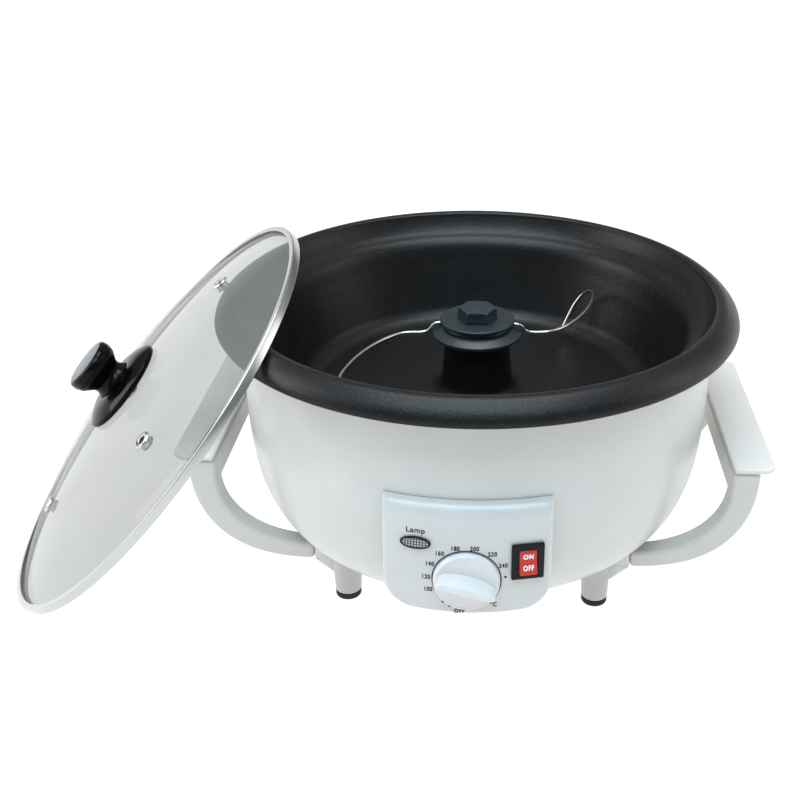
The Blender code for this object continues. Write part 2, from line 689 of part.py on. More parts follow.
def make_legs(parent, form):
    for side, side_name in ((-1, "left"), (1, "right")):
        for front, front_name in ((-1, "front"), (1, "back")):
            place = (*leg_place(side, front), 0)
            title = f"{front_name}_{side_name}"
            foot = FOOT_HEIGHT + GAP
            taper = foot + (bowl_height(LEG_CIRCLE) - foot) * LEG_TAPER_SHARE
            hole = FOOT_PLUG_RADIUS + GAP
            top = bowl_height(LEG_CIRCLE + LEG_RADIUS) + OVERRUN
            loop = [(hole, foot), (LEG_FOOT_RADIUS, foot), (LEG_RADIUS, taper), (LEG_RADIUS, top), (0, top),
                    (0, foot + FOOT_PLUG_HEIGHT + GAP), (hole, foot + FOOT_PLUG_HEIGHT + GAP)]
            leg = turned(f"leg_{title}", loop, "white_bowl", SMALL_STEPS, parent=parent, place=place)
            boolean(leg, form)
            plug = foot + FOOT_PLUG_HEIGHT
            loop = [(0, 0), (FOOT_RADIUS - FOOT_ROUND, 0), (FOOT_RADIUS, FOOT_ROUND), (FOOT_RADIUS, FOOT_HEIGHT),
                    (FOOT_PLUG_RADIUS, FOOT_HEIGHT), (FOOT_PLUG_RADIUS, plug), (0, plug)]
            turned(f"foot_{title}", loop, "black_rubber", SMALL_STEPS, parent=parent, place=place)


def handle_outline(side):
    """The handle's C-shaped section, seen from the front."""
    outer = even_points(lambda share: (
        HANDLE_SEAM + (HANDLE_OUTER - HANDLE_SEAM) * cos(share * pi / 2) ** (2 / OUTER_POWER),
        HANDLE_TOP - (HANDLE_TOP - HANDLE_FOOT) * sin(share * pi / 2) ** (2 / OUTER_POWER)), 11)
    inner = even_points(lambda share: (
        HANDLE_SEAM + (HANDLE_INNER - HANDLE_SEAM) * cos(share * pi / 2) ** (2 / INNER_POWER),
        HANDLE_SHOULDER - (HANDLE_SHOULDER - HANDLE_FOOT_TOP) * sin(share * pi / 2) ** (2 / INNER_POWER)), 8)
    whole = outer + inner[::-1] + [(HANDLE_INNER, HANDLE_TOP)]
    return [(side * across, height) for across, height in whole]


def rounded_corner(centre, radius, start, count=4):
    return arc(centre, (radius, radius), start, start + 90, count)


def make_handles(parent, form):
    for side, name in ((-1, "left"), (1, "right")):
        handle = prism(f"handle_{name}", handle_outline(side), -HANDLE_HALF_WIDTH, HANDLE_HALF_WIDTH,
                       "white_plastic", parent=parent)
        half = HANDLE_HALF_WIDTH - HANDLE_ARM_WIDTH
        low, high = sorted((0, side * (HANDLE_OUTER + OVERRUN)))
        window = box(f"handle_window_{name}", (low, -half, -OVERRUN), (high, half, GRIP_UNDERSIDE), None,
                     parent=parent)
        boolean(handle, window)
        boolean(handle, form)
        bevel(handle, HANDLE_BEVEL, 1)
        low_edge = HANDLE_TOP + GAP
        reach = HANDLE_HALF_WIDTH + PLATE_OVERHANG
        corner = PLATE_OUTER - PLATE_CORNER
        outline = [(PLATE_INNER, -reach)]
        outline += rounded_corner((corner, -reach + PLATE_CORNER), PLATE_CORNER, -90)
        corner, reach = PLATE_OUTER - PLATE_BACK_CORNER, reach + PLATE_TAIL
        outline += rounded_corner((corner, reach - PLATE_BACK_CORNER), PLATE_BACK_CORNER, 0)
        outline += [(PLATE_INNER, reach)]
        outline = [(side * across, along) for across, along in outline]
        plate = prism(f"handle_plate_{name}", outline, low_edge, low_edge + PLATE_THICKNESS, "white_plastic",
                      axis='Z', parent=parent)
        bevel(plate, PLATE_BEVEL, 2)


def make_brackets(parent, form):
    """Blocks that carry the handle's arms under the bowl, beside each leg."""
    seam = HANDLE_SEAM - GAP
    top = bowl_height(hypot(seam, HANDLE_HALF_WIDTH)) + OVERRUN
    outline = [(BRACKET_INNER, BRACKET_FOOT), (BRACKET_SLOPE_START, BRACKET_FOOT), (seam, HANDLE_FOOT),
               (seam, top), (BRACKET_INNER, top)]
    inner_edge = HANDLE_HALF_WIDTH - HANDLE_ARM_WIDTH
    for side, side_name in ((-1, "left"), (1, "right")):
        for front, front_name in ((-1, "front"), (1, "back")):
            low, high = sorted((front * inner_edge, front * HANDLE_HALF_WIDTH))
            title = f"{front_name}_{side_name}"
            shape = [(side * across, height) for across, height in outline]
            bracket = prism(f"bracket_{title}", shape, low, high, "white_bowl", parent=parent)
            hole = rod(f"leg_form_{title}", LEG_RADIUS + GAP, 0, top + OVERRUN, None, parent=parent,
                       place=(*leg_place(side, front), 0))
            boolean(bracket, hole)
            boolean(bracket, form)


# Control panel
def panel_form(name, shrink, parent, kind=None):
    """The panel's outline met with its turned front, shrunk by a wall."""
    radius = PANEL_RADIUS - shrink
    low, high = PANEL_FOOT + shrink, PANEL_TOP - shrink
    edge = PANEL_EDGE_ROUND - shrink / 2
    ledge = high - COVE_DROP
    wall = BOWL_RADIUS + GAP - shrink
    loop = [(PANEL_BACK_RADIUS, low), (radius - edge, low)]
    loop += arc((radius - edge, low + edge), (edge, edge), -60, 0, 2)
    loop += arc((radius - COVE_ROUND, ledge - COVE_ROUND), (COVE_ROUND, COVE_ROUND), 0, 80, 3)
    loop += arc((radius - COVE_ROUND, high), (radius - COVE_ROUND - wall, COVE_DROP), -112, -180, 3)
    loop += [(PANEL_BACK_RADIUS, high)]
    half = PANEL_HALF_WIDTH - shrink
    corner = PANEL_CORNER - shrink
    sweep = 2.4 * asin(half / PANEL_BACK_RADIUS)
    made = turned(name, loop, kind, PANEL_STEPS, sweep=sweep, parent=parent, turn=(0, 0, -pi / 2))
    foot = arc((-half + corner, low + corner), (corner, corner), 180, 270, 6)
    foot += [(across, low) for across in (-half / 3, 0, half / 3)]
    foot += arc((half - corner, low + corner), (corner, corner), 270, 360, 6)
    foot = [(across, height + PANEL_SAG * (across / half) ** 2) for across, height in foot]
    outline = [(-half, high + OVERRUN)] + foot + [(half, high + OVERRUN)]
    mask = prism(name + "_outline", outline, -PANEL_RADIUS - OVERRUN, -PANEL_BACK_RADIUS + OVERRUN, None,
                 parent=parent)
    boolean(made, mask, 'INTERSECT')
    return made


def face_angle(across):
    """How far round the panel's curved face a place lies."""
    return asin(across / PANEL_RADIUS)


def make_panel(parent, form):
    panel = panel_form("control_panel", 0, parent, "white_gloss")
    boolean(panel, panel_form("panel_hollow", PANEL_WALL, parent))
    boolean(panel, form)
    shaft = rod("dial_hole", DIAL_SHAFT_RADIUS + 2 * RUNNING_GAP, -OVERRUN, OVERRUN, None, parent=parent,
                place=(KNOB_ACROSS, -PANEL_RADIUS, DIAL_HEIGHT), turn=(pi / 2, 0, 0))
    boolean(panel, shaft)
    return panel


def make_lamp(parent, panel):
    """Oval lamp window and the glow lamp behind it."""
    turn = -face_angle(LAMP_ACROSS)
    frame = empty("lamp_frame", (0, 0, LAMP_HEIGHT), (0, 0, turn), parent)
    rim = GAP - PANEL_RADIUS
    plug = (LAMP_HALF_WIDTH - LAMP_RIM, LAMP_HALF_HEIGHT - LAMP_RIM)
    lens = prism("lamp_lens", arc((0, 0), (LAMP_HALF_WIDTH, LAMP_HALF_HEIGHT), 0, 345, 23),
                 -PANEL_RADIUS - GAP - LAMP_FLANGE, -PANEL_RADIUS - GAP, "lamp", parent=frame)
    stem = prism("lamp_stem", arc((0, 0), plug, 0, 345, 23), -PANEL_RADIUS - LAMP_FLANGE, rim + LAMP_PLUG, None,
                 parent=frame)
    boolean(lens, stem, 'UNION')
    hole = prism("lamp_hole", arc((0, 0), (plug[0] + GAP, plug[1] + GAP), 0, 345, 23),
                 -PANEL_RADIUS - OVERRUN, -PANEL_RADIUS + OVERRUN, None, parent=frame)
    boolean(panel, hole)
    start = -PANEL_RADIUS + LAMP_PLUG + 2 * GAP
    rod("neon_lamp", NEON_RADIUS, -start - NEON_LENGTH, -start, "neon", parent=frame, turn=(pi / 2, 0, 0))


def make_switch(parent, panel):
    """Rocker switch: framed housing with a pocket, and the rocker in it."""
    frame = empty("switch_frame", (0, 0, SWITCH_HEIGHT), (0, 0, face_angle(SWITCH_ACROSS)), parent)
    face = -PANEL_RADIUS - GAP
    housing = box("switch_housing", (-SWITCH_WIDTH / 2, face - SWITCH_FLANGE, -SWITCH_TALL / 2),
                  (SWITCH_WIDTH / 2, face, SWITCH_TALL / 2), "black_plastic", parent=frame)
    body = box("switch_body", (-SWITCH_BODY_WIDTH / 2, face - SWITCH_FLANGE / 2, -SWITCH_BODY_TALL / 2),
               (SWITCH_BODY_WIDTH / 2, face + SWITCH_DEPTH, SWITCH_BODY_TALL / 2), None, parent=frame)
    boolean(housing, body, 'UNION')
    pocket_wide, pocket_tall = ROCKER_WIDTH / 2 + RUNNING_GAP, ROCKER_SWEEP + RUNNING_GAP
    floor = face + ROCKER_PIVOT_DEPTH + ROCKER_SWEEP + RUNNING_GAP
    pocket = box("switch_pocket", (-pocket_wide, face - OVERRUN, -pocket_tall), (pocket_wide, floor, pocket_tall),
                 None, parent=frame)
    boolean(housing, pocket)
    hole_wide, hole_tall = SWITCH_BODY_WIDTH / 2 + GAP, SWITCH_BODY_TALL / 2 + GAP
    hole = box("switch_hole", (-hole_wide, -PANEL_RADIUS - OVERRUN, -hole_tall),
               (hole_wide, -PANEL_RADIUS + 2 * OVERRUN, hole_tall), None, parent=frame)
    boolean(panel, hole)
    pivot = empty("rocker_pivot", (0, face + ROCKER_PIVOT_DEPTH, 0), (ROCKER_REST, 0, 0), frame)
    sweep = (ROCKER_SWEEP, ROCKER_SWEEP)
    corner, back = degrees(ROCKER_CORNER), degrees(ROCKER_BACK)
    outline = [(-ROCKER_VALLEY, 0)]
    outline += arc((0, 0), sweep, 90 + corner + 2, 90 - back, 4)
    outline += arc((0, 0), sweep, back - 90, -90 - corner - 2, 4)
    prism("power_rocker", outline, -ROCKER_WIDTH / 2, ROCKER_WIDTH / 2, "rocker_red", axis='X', parent=pivot)


def make_dial(parent):
    """Temperature knob on the thermostat's shaft, turned about the panel's front."""
    front = -PANEL_RADIUS - DIAL_GAP
    axis = empty("dial_axis", (KNOB_ACROSS, front, DIAL_HEIGHT), (pi / 2, 0, 0), parent)
    loop = [(0, 0), (DIAL_RADIUS - DIAL_SKIRT, 0), (DIAL_RADIUS, DIAL_SKIRT), (DIAL_RADIUS, DIAL_DISC - DIAL_CHAMFER),
            (DIAL_RADIUS - DIAL_CHAMFER, DIAL_DISC), (0, DIAL_DISC)]
    knob = turned("temperature_knob", loop, "dial_white", DIAL_STEPS, parent=axis)
    half, top_half = DIAL_GRIP_WIDTH / 2, DIAL_GRIP_TOP_WIDTH / 2
    crown = DIAL_DISC + DIAL_GRIP_HEIGHT
    outline = [(-half, DIAL_GRIP_ROOT), (half, DIAL_GRIP_ROOT), (half, DIAL_DISC), (top_half, crown),
               (-top_half, crown), (-half, DIAL_DISC)]
    grip = prism("dial_grip", outline, -DIAL_RADIUS, DIAL_RADIUS, None, axis='X', parent=axis,
                 turn=(0, 0, -DIAL_TURN))
    barrel = rod("dial_barrel", DIAL_GRIP_REACH, 0, crown + OVERRUN, None, DIAL_STEPS, parent=axis)
    boolean(grip, barrel, 'INTERSECT')
    boolean(knob, grip, 'UNION')
    socket = rod("dial_socket", DIAL_SHAFT_RADIUS + GAP, -OVERRUN, DIAL_SHAFT_GRIP + GAP, None, parent=axis)
    boolean(knob, socket)
    inner_face = PANEL_RADIUS - PANEL_WALL
    seat = -sqrt(inner_face ** 2 - (THERMOSTAT_WIDTH / 2) ** 2) + GAP
    tail = seat + DIAL_SHAFT_TAIL
    rod("thermostat_shaft", DIAL_SHAFT_RADIUS, front - tail, DIAL_SHAFT_GRIP, "zinc", parent=axis)
    body = box("thermostat_body", (KNOB_ACROSS - THERMOSTAT_WIDTH / 2, seat, DIAL_HEIGHT - THERMOSTAT_TALL / 2),
               (KNOB_ACROSS + THERMOSTAT_WIDTH / 2, seat + THERMOSTAT_DEPTH, DIAL_HEIGHT + THERMOSTAT_TALL / 2),
               "ceramic", parent=parent)
    bore = rod("thermostat_bore", DIAL_SHAFT_RADIUS + RUNNING_GAP, -OVERRUN, DIAL_SHAFT_TAIL + GAP, None,
               parent=parent, place=(KNOB_ACROSS, seat, DIAL_HEIGHT), turn=(-pi / 2, 0, 0))
    boolean(body, bore)


# Stirrer
def make_stirrer(parent):
    axis = empty("stirrer_axis", parent=parent)
    lip = LIP_HEIGHT
    foot, top = lip - HUB_FOOT_DROP, lip - HUB_TOP_DROP
    bore = SHAFT_RADIUS + GAP
    shoulder = lip - HUB_SHOULDER_DROP
    loop = [(bore, foot + HUB_SKIRT), (HUB_NECK_RADIUS, foot + HUB_SKIRT),
            (HUB_FLANGE_RADIUS - HUB_SKIRT, foot), (HUB_FLANGE_RADIUS, foot),
            (HUB_FLANGE_RADIUS, foot + HUB_EDGE), (HUB_SHOULDER_RADIUS, shoulder),
            (HUB_NECK_RADIUS, shoulder), (HUB_NECK_RADIUS, top), (bore, top)]
    hub = turned("stirrer_hub", loop, "hub_plastic", MEDIUM_STEPS, parent=axis)
    wire_level = lip - WIRE_DROP
    depth = PAN_DEPTH - WIRE_DROP
    route = [(WIRE_ROOT, 0, 0)] + [(along * PAN_WALL_FOOT_RADIUS, across * PAN_WALL_FOOT_RADIUS, fall * depth)
                                   for along, across, fall in WIRE_ROUTE_SHARES]
    half = WIRE_RADIUS + GAP
    for side, name in ((1, "right"), (-1, "left")):
        points = [(side * along, side * across, wire_level - fall) for along, across, fall in route]
        wire(f"stirrer_wire_{name}", smooth_route(points, WIRE_CUTS), WIRE_RADIUS, "steel", parent=axis)
        low, high = sorted((side * (WIRE_ROOT - GAP), side * (HUB_FLANGE_RADIUS + OVERRUN)))
        groove = box(f"wire_groove_{name}", (low, -half, wire_level - half), (high, half, top + OVERRUN), None,
                     parent=axis)
        boolean(hub, groove)
    base = top + GAP
    loop = [(bore, base), (DISC_RADIUS - DISC_ROUND, base), (DISC_RADIUS, base + DISC_ROUND),
            (DISC_RADIUS, base + DISC_THICKNESS - DISC_ROUND), (DISC_RADIUS - DISC_ROUND, base + DISC_THICKNESS),
            (bore, base + DISC_THICKNESS)]
    turned("clamp_disc", loop, "hub_plastic", MEDIUM_STEPS, parent=axis)
    nut_foot = base + DISC_THICKNESS + GAP
    corners = NUT_ACROSS_CORNERS / 2
    outline = arc((0, 0), (corners, corners), 0, 300, 5)
    nut = prism("hub_nut", outline, nut_foot, nut_foot + NUT_HEIGHT, "hub_plastic", axis='Z', parent=axis)
    bevel(nut, NUT_BEVEL, 1)
    depth = NUT_HEIGHT * NUT_BORE_SHARE
    thread = rod("nut_bore", bore, nut_foot - OVERRUN, nut_foot + depth, None, parent=axis)
    boolean(nut, thread)
    shaft_foot = lip - SHIELD_DROP - SHIELD_SHEET - GAP - SHAFT_SEAT
    rod("drive_shaft", SHAFT_RADIUS, shaft_foot, nut_foot + depth - GAP, "steel", SMALL_STEPS, parent=axis)


# Heater, shield and motor
def make_heater(parent):
    """Bent tube heater under the pan's floor and the dish that shields the base."""
    level = LIP_HEIGHT - PAN_DEPTH - PAN_SHEET - GAP - ELEMENT_RADIUS
    start, end = pi / 2 + ELEMENT_OPENING / 2, 5 * pi / 2 - ELEMENT_OPENING / 2
    ring = []
    for step in range(ELEMENT_POINTS + 1):
        angle = start + (end - start) * step / ELEMENT_POINTS
        ring.append(on_circle(ELEMENT_CIRCLE, angle, level))
    for index in (0, -1):
        x, y, z = ring[index]
        tail = (x * (1 + ELEMENT_RADIUS / ELEMENT_CIRCLE), y + ELEMENT_TAIL, z)
        ring.insert(0 if index == 0 else len(ring), tail)
    wire("heating_element", ring, ELEMENT_RADIUS, "steel", parent=parent)
    floor = LIP_HEIGHT - SHIELD_DROP
    upper = [(SHIELD_RADIUS, floor + SHIELD_EDGE_RISE), (SHIELD_RADIUS - SHIELD_EDGE_WIDTH, floor),
             (SHIELD_HOLE_RADIUS, floor)]
    lower = offset(upper, -SHIELD_SHEET)
    shield = turned("heat_shield", upper + lower[::-1], "zinc", LARGE_STEPS, parent=parent)
    underside = floor - SHIELD_SHEET
    for index in range(POST_COUNT):
        angle = 2 * pi * index / POST_COUNT + pi / 6
        foot = bowl_height(POST_CIRCLE + POST_RADIUS) + BOWL_WALL + GAP
        rod(f"shield_post_{index + 1}", POST_RADIUS, foot, underside - GAP, "steel", SMALL_STEPS,
            parent=parent, place=on_circle(POST_CIRCLE, angle))
    return shield


def make_motor(parent, shield):
    """Gearbox and motor hung under the shield by two screws."""
    deck = LIP_HEIGHT - SHIELD_DROP
    top = deck - SHIELD_SHEET - GAP
    low = top - GEARBOX_HEIGHT
    hollow = SHAFT_RADIUS + RUNNING_GAP
    loop = [(0, low), (GEARBOX_RADIUS - GEARBOX_BEVEL, low), (GEARBOX_RADIUS, low + GEARBOX_BEVEL),
            (GEARBOX_RADIUS, top), (hollow, top), (hollow, top - SHAFT_SEAT - GAP), (0, top - SHAFT_SEAT - GAP)]
    gearbox = turned("gearbox", loop, "zinc", MEDIUM_STEPS, parent=parent)
    high = low - GAP
    foot = high - MOTOR_HEIGHT
    loop = [(0, foot), (MOTOR_RADIUS - GEARBOX_BEVEL, foot), (MOTOR_RADIUS, foot + GEARBOX_BEVEL),
            (MOTOR_RADIUS, high), (0, high)]
    turned("motor", loop, "black_plastic", MEDIUM_STEPS, parent=parent)
    for index in range(MOTOR_SCREW_COUNT):
        place = on_circle(MOTOR_SCREW_CIRCLE, pi * index)
        hole = rod(f"motor_screw_hole_{index + 1}", COVER_SCREW_RADIUS + GAP, top - MOTOR_SCREW_DEPTH - GAP,
                   deck + OVERRUN, None, parent=parent, place=place)
        boolean(gearbox, hole)
        boolean(shield, hole)
        head = deck + GAP
        loop = [(0, top - MOTOR_SCREW_DEPTH), (COVER_SCREW_RADIUS, top - MOTOR_SCREW_DEPTH), (COVER_SCREW_RADIUS, head),
                (COVER_SCREW_HEAD_RADIUS, head), (COVER_SCREW_HEAD_RADIUS, head + COVER_SCREW_HEAD - SHEET_BEVEL),
                (COVER_SCREW_HEAD_RADIUS - SHEET_BEVEL, head + COVER_SCREW_HEAD), (0, head + COVER_SCREW_HEAD)]
        turned(f"motor_screw_{index + 1}", loop, "zinc", SMALL_STEPS, parent=parent, place=place)


# Wiring pieces
def inlet_slope():
    """Radius of the bowl at the inlet and how far its wall leans there."""
    below = bowl_profile(60, BASE_HOLE_RADIUS)
    for (ra, za), (rb, zb) in zip(below, below[1:]):
        if zb <= INLET_HEIGHT <= za:
            share = (za - INLET_HEIGHT) / (za - zb)
            return ra + (rb - ra) * share, atan2(ra - rb, za - zb)
    return below[-1][0], 0.0


def inlet_place():
    return (0, inlet_slope()[0], INLET_HEIGHT)


def inlet_turn():
    return (-pi / 2 - inlet_slope()[1], 0, 0)


def make_wiring(parent):
    """Cable bush at the back, terminal block and thermal fuse."""
    loop = [(INLET_BORE, -BOWL_WALL - INLET_FLANGE), (INLET_NECK_RADIUS, -BOWL_WALL - INLET_FLANGE),
            (INLET_NECK_RADIUS, GAP), (INLET_RADIUS, GAP), (INLET_RADIUS, GAP + INLET_FLANGE),
            (INLET_NECK_RADIUS, GAP + INLET_FLANGE), (INLET_NECK_RADIUS - INLET_FLANGE / 4, GAP + INLET_NOSE),
            (INLET_BORE, GAP + INLET_NOSE)]
    turned("cable_inlet", loop, "black_rubber", SMALL_STEPS, parent=parent, place=inlet_place(),
           turn=inlet_turn())
    floor = bowl_height(BASE_HOLE_RADIUS)
    box("terminal_block", (-BLOCK_WIDTH / 2, BLOCK_BACK - BLOCK_DEPTH, floor),
        (BLOCK_WIDTH / 2, BLOCK_BACK, floor + BLOCK_HEIGHT), "ceramic", parent=parent)
    height = LIP_HEIGHT - SHIELD_DROP - SHIELD_SHEET - GAP - FUSE_RADIUS
    rod("thermal_fuse", FUSE_RADIUS, -FUSE_LENGTH / 2, FUSE_LENGTH / 2, "ceramic", parent=parent,
        place=(-FUSE_ACROSS, 0, height), turn=(pi / 2, 0, 0))


# Lid
def glass_edge():
    return LID_RADIUS - LID_BAND_SHEET - GAP


def glass_base():
    """Height of the glass's lower face at its flat edge."""
    return (LID_BAND_HEIGHT - GLASS_THICKNESS) / 2


def dome_height(radius):
    """Height of the glass's outer face at a radius, in the lid's own frame."""
    fall = (radius / (glass_edge() - GLASS_FLAT)) ** DOME_POWER
    return glass_base() + GLASS_THICKNESS + DOME_RISE * (1 - fall)


def dome_slope(radius):
    """How steeply the dome falls at a radius."""
    base = glass_edge() - GLASS_FLAT
    return atan2(DOME_RISE * DOME_POWER * (radius / base) ** (DOME_POWER - 1), base)


def make_glass(frame):
    edge, base = glass_edge(), glass_edge() - GLASS_FLAT
    outer = [(edge, glass_base() + GLASS_THICKNESS)]
    for step in range(8):
        radius = base + (GLASS_HOLE_RADIUS - base) * step / 7
        outer.append((radius, dome_height(radius)))
    inner = [(edge, glass_base()), (base, glass_base())]
    for step in range(1, 6):
        radius = base + (GLASS_HOLE_RADIUS - base) * step / 5
        inner.append((radius, dome_height(radius) - GLASS_THICKNESS))
    glass = turned("lid_glass", outer + inner[::-1], "glass", LARGE_STEPS, parent=frame)
    for index in range(VENT_COUNT):
        hole = rod(f"vent_hole_{index + 1}", VENT_HOLE_RADIUS, -OVERRUN - GLASS_THICKNESS, OVERRUN, None,
                   parent=vent_frame(frame, index))
        boolean(glass, hole)


def vent_frame(frame, index):
    """A frame on the dome's outer face, facing straight out of it."""
    name = f"vent_axis_{index + 1}"
    if name in bpy.data.objects:
        return bpy.data.objects[name]
    angle = VENT_FIRST + VENT_PITCH * index
    place = on_circle(VENT_CIRCLE, angle, dome_height(VENT_CIRCLE))
    return empty(name, place, (0, dome_slope(VENT_CIRCLE), angle), frame)


def make_band(frame):
    sheet, lip = LID_BAND_SHEET, LID_RADIUS - LID_BAND_LIP
    top = LID_BAND_HEIGHT
    loop = [(LID_RADIUS - sheet / 2, 0), (LID_RADIUS, sheet / 2), (LID_RADIUS, top - sheet / 2),
            (LID_RADIUS - sheet / 2, top), (lip + SHEET_BEVEL, top), (lip + SHEET_BEVEL, top - sheet),
            (LID_RADIUS - sheet, top - sheet), (LID_RADIUS - sheet, sheet), (lip, sheet), (lip, 0)]
    turned("lid_band", loop, "polished_steel", LARGE_STEPS, parent=frame)


def make_vents(frame):
    tube = VENT_HOLE_RADIUS - GAP
    deep = -GLASS_THICKNESS - GAP
    loop = [(tube - VENT_TUBE, deep - VENT_FLANGE), (VENT_FLANGE_RADIUS - VENT_FLANGE, deep - VENT_FLANGE),
            (VENT_FLANGE_RADIUS - VENT_FLANGE, deep), (tube, deep), (tube, GAP), (VENT_FLANGE_RADIUS, GAP),
            (VENT_FLANGE_RADIUS, GAP + VENT_FLANGE / 2), (VENT_FLANGE_RADIUS - VENT_FLANGE, GAP + VENT_FLANGE),
            (tube - VENT_TUBE, GAP + VENT_FLANGE)]
    for index in range(VENT_COUNT):
        turned(f"vent_eyelet_{index + 1}", loop, "polished_steel", SMALL_STEPS, parent=vent_frame(frame, index))


def skirt_height(radius):
    """Height of the knob skirt's upper face, a low dome."""
    fall = (radius - KNOB_FOOT_RADIUS) / (SKIRT_RADIUS - KNOB_FOOT_RADIUS)
    return dome_height(SKIRT_RADIUS) + GAP + SKIRT_RISE - (SKIRT_RISE - SKIRT_EDGE) * fall * fall


def make_knob(frame):
    """Turned knob, its skirt, and the screw and washer that hold them."""
    bore = LID_SCREW_RADIUS + GAP
    rim = dome_height(SKIRT_RADIUS) + GAP
    middle = (SKIRT_RADIUS + bore) / 2
    upper = [(SKIRT_RADIUS, rim)]
    for step in range(6):
        radius = SKIRT_RADIUS + (KNOB_FOOT_RADIUS - SKIRT_RADIUS) * step / 5
        upper.append((radius, skirt_height(radius)))
    crown = skirt_height(KNOB_FOOT_RADIUS)
    loop = upper + [(bore, crown), (bore, dome_height(bore) + GAP), (middle, dome_height(middle) + GAP)]
    turned("knob_skirt", loop, "black_gloss", SKIRT_STEPS, parent=frame)
    foot = crown + GAP
    bell = [(KNOB_RADIUS * across, foot + KNOB_HEIGHT * up) for across, up in KNOB_SHAPE]
    grip = foot + LID_SCREW_GRIP
    loop = [(bore, foot)] + bell + [(0, foot + KNOB_HEIGHT), (0, grip), (bore, grip)]
    turned("lid_knob", loop, "black_gloss", MEDIUM_STEPS, parent=frame)
    under = dome_height(WASHER_RADIUS) - GLASS_THICKNESS - GAP
    loop = [(bore, under - WASHER_THICKNESS), (WASHER_RADIUS, under - WASHER_THICKNESS), (WASHER_RADIUS, under),
            (bore, under)]
    turned("lid_washer", loop, "polished_steel", MEDIUM_STEPS, parent=frame)
    head = under - WASHER_THICKNESS - GAP
    loop = [(0, head - LID_SCREW_HEAD), (LID_SCREW_HEAD_RADIUS - SHEET_BEVEL, head - LID_SCREW_HEAD),
            (LID_SCREW_HEAD_RADIUS, head - LID_SCREW_HEAD + SHEET_BEVEL), (LID_SCREW_HEAD_RADIUS, head),
            (LID_SCREW_RADIUS, head), (LID_SCREW_RADIUS, grip - GAP), (0, grip - GAP)]
    turned("lid_screw", loop, "polished_steel", SMALL_STEPS, parent=frame)


def lid_clears(reach):
    """Whether the leaning lid, its middle at this reach, stays off the pan's rim."""
    out = Vector((sin(LID_TILT) * cos(LID_TURN), sin(LID_TILT) * sin(LID_TURN), cos(LID_TILT)))
    middle = Vector(on_circle(reach, LID_BEARING, LID_RADIUS * sin(LID_TILT)))
    base = glass_edge() - GLASS_FLAT
    for radius, height in pan_profile()[:9]:
        for step in range(RIM_POINTS):
            spot = Vector(on_circle(radius, 2 * pi * step / RIM_POINTS, height)) - middle
            above = spot.dot(out)
            across = sqrt(spot.length_squared - above * above)
            hollow = dome_height(across) - GLASS_THICKNESS if across < base else 0
            if across < LID_RADIUS + GAP and above > hollow - GAP:
                return False
    return True


def lid_reach():
    """The smallest reach at which the leaning lid stays off the pan's rim."""
    low, high = LIP_RADIUS, 2 * LIP_RADIUS
    while high - low > GAP / 10:
        middle = (low + high) / 2
        if lid_clears(middle):
            high = middle
        else:
            low = middle
    return high


def make_lid(parent):
    """The lid leans beside the pan: its edge on the counter, its rim on the pan's."""
    place = on_circle(lid_reach(), LID_BEARING, LID_RADIUS * sin(LID_TILT))
    frame = empty("lid_axis", place, (0, LID_TILT, LID_TURN), parent)
    make_glass(frame)
    make_band(frame)
    make_vents(frame)
    make_knob(frame)


def set_origin(root):
    """Move the whole object so that its box stands centred on the origin."""
    bpy.context.view_layer.update()
    graph = bpy.context.evaluated_depsgraph_get()
    low, high = Vector((9, 9, 9)), Vector((-9, -9, -9))
    for item in bpy.context.scene.objects:
        if item.type == 'EMPTY' or item.hide_render:
            continue
        shape = item.evaluated_get(graph)
        mesh = shape.to_mesh()
        for vert in mesh.vertices:
            spot = shape.matrix_world @ vert.co
            low = Vector(map(min, low, spot))
            high = Vector(map(max, high, spot))
        shape.to_mesh_clear()
    root.location = (-(low.x + high.x) / 2, -(low.y + high.y) / 2, -low.z)


def main():
    clear_scene()
    root = empty("roaster")
    form = bowl_cutter(root)
    make_pan(root)
    make_bowl(root)
    make_base(root)
    make_legs(root, form)
    make_brackets(root, form)
    make_handles(root, form)
    panel = make_panel(root, form)
    make_lamp(root, panel)
    make_switch(root, panel)
    make_dial(root)
    make_stirrer(root)
    shield = make_heater(root)
    make_motor(root, shield)
    make_wiring(root)
    make_lid(root)
    set_origin(root)


main()
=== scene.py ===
import json
import bmesh
import bpy
import numpy as np
from math import atan2, cos, pi, radians, sin, sqrt
from mathutils import Matrix, Vector


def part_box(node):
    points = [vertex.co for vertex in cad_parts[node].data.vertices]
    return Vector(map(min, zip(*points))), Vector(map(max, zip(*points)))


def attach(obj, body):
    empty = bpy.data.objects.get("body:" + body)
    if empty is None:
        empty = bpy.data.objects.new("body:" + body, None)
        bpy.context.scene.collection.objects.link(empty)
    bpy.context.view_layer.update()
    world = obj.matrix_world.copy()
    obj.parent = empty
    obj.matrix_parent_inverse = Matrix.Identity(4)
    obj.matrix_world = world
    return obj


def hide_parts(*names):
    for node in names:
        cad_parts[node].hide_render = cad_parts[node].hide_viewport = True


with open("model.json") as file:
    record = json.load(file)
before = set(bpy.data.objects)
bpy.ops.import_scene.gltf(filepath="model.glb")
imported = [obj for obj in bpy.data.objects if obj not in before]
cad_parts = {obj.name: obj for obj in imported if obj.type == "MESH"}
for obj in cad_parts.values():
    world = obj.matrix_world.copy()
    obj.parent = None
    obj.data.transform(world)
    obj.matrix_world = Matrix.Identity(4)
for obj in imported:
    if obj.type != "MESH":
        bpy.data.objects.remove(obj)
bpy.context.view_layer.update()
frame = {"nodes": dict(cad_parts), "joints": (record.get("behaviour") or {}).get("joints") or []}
print("stage: frame loaded")

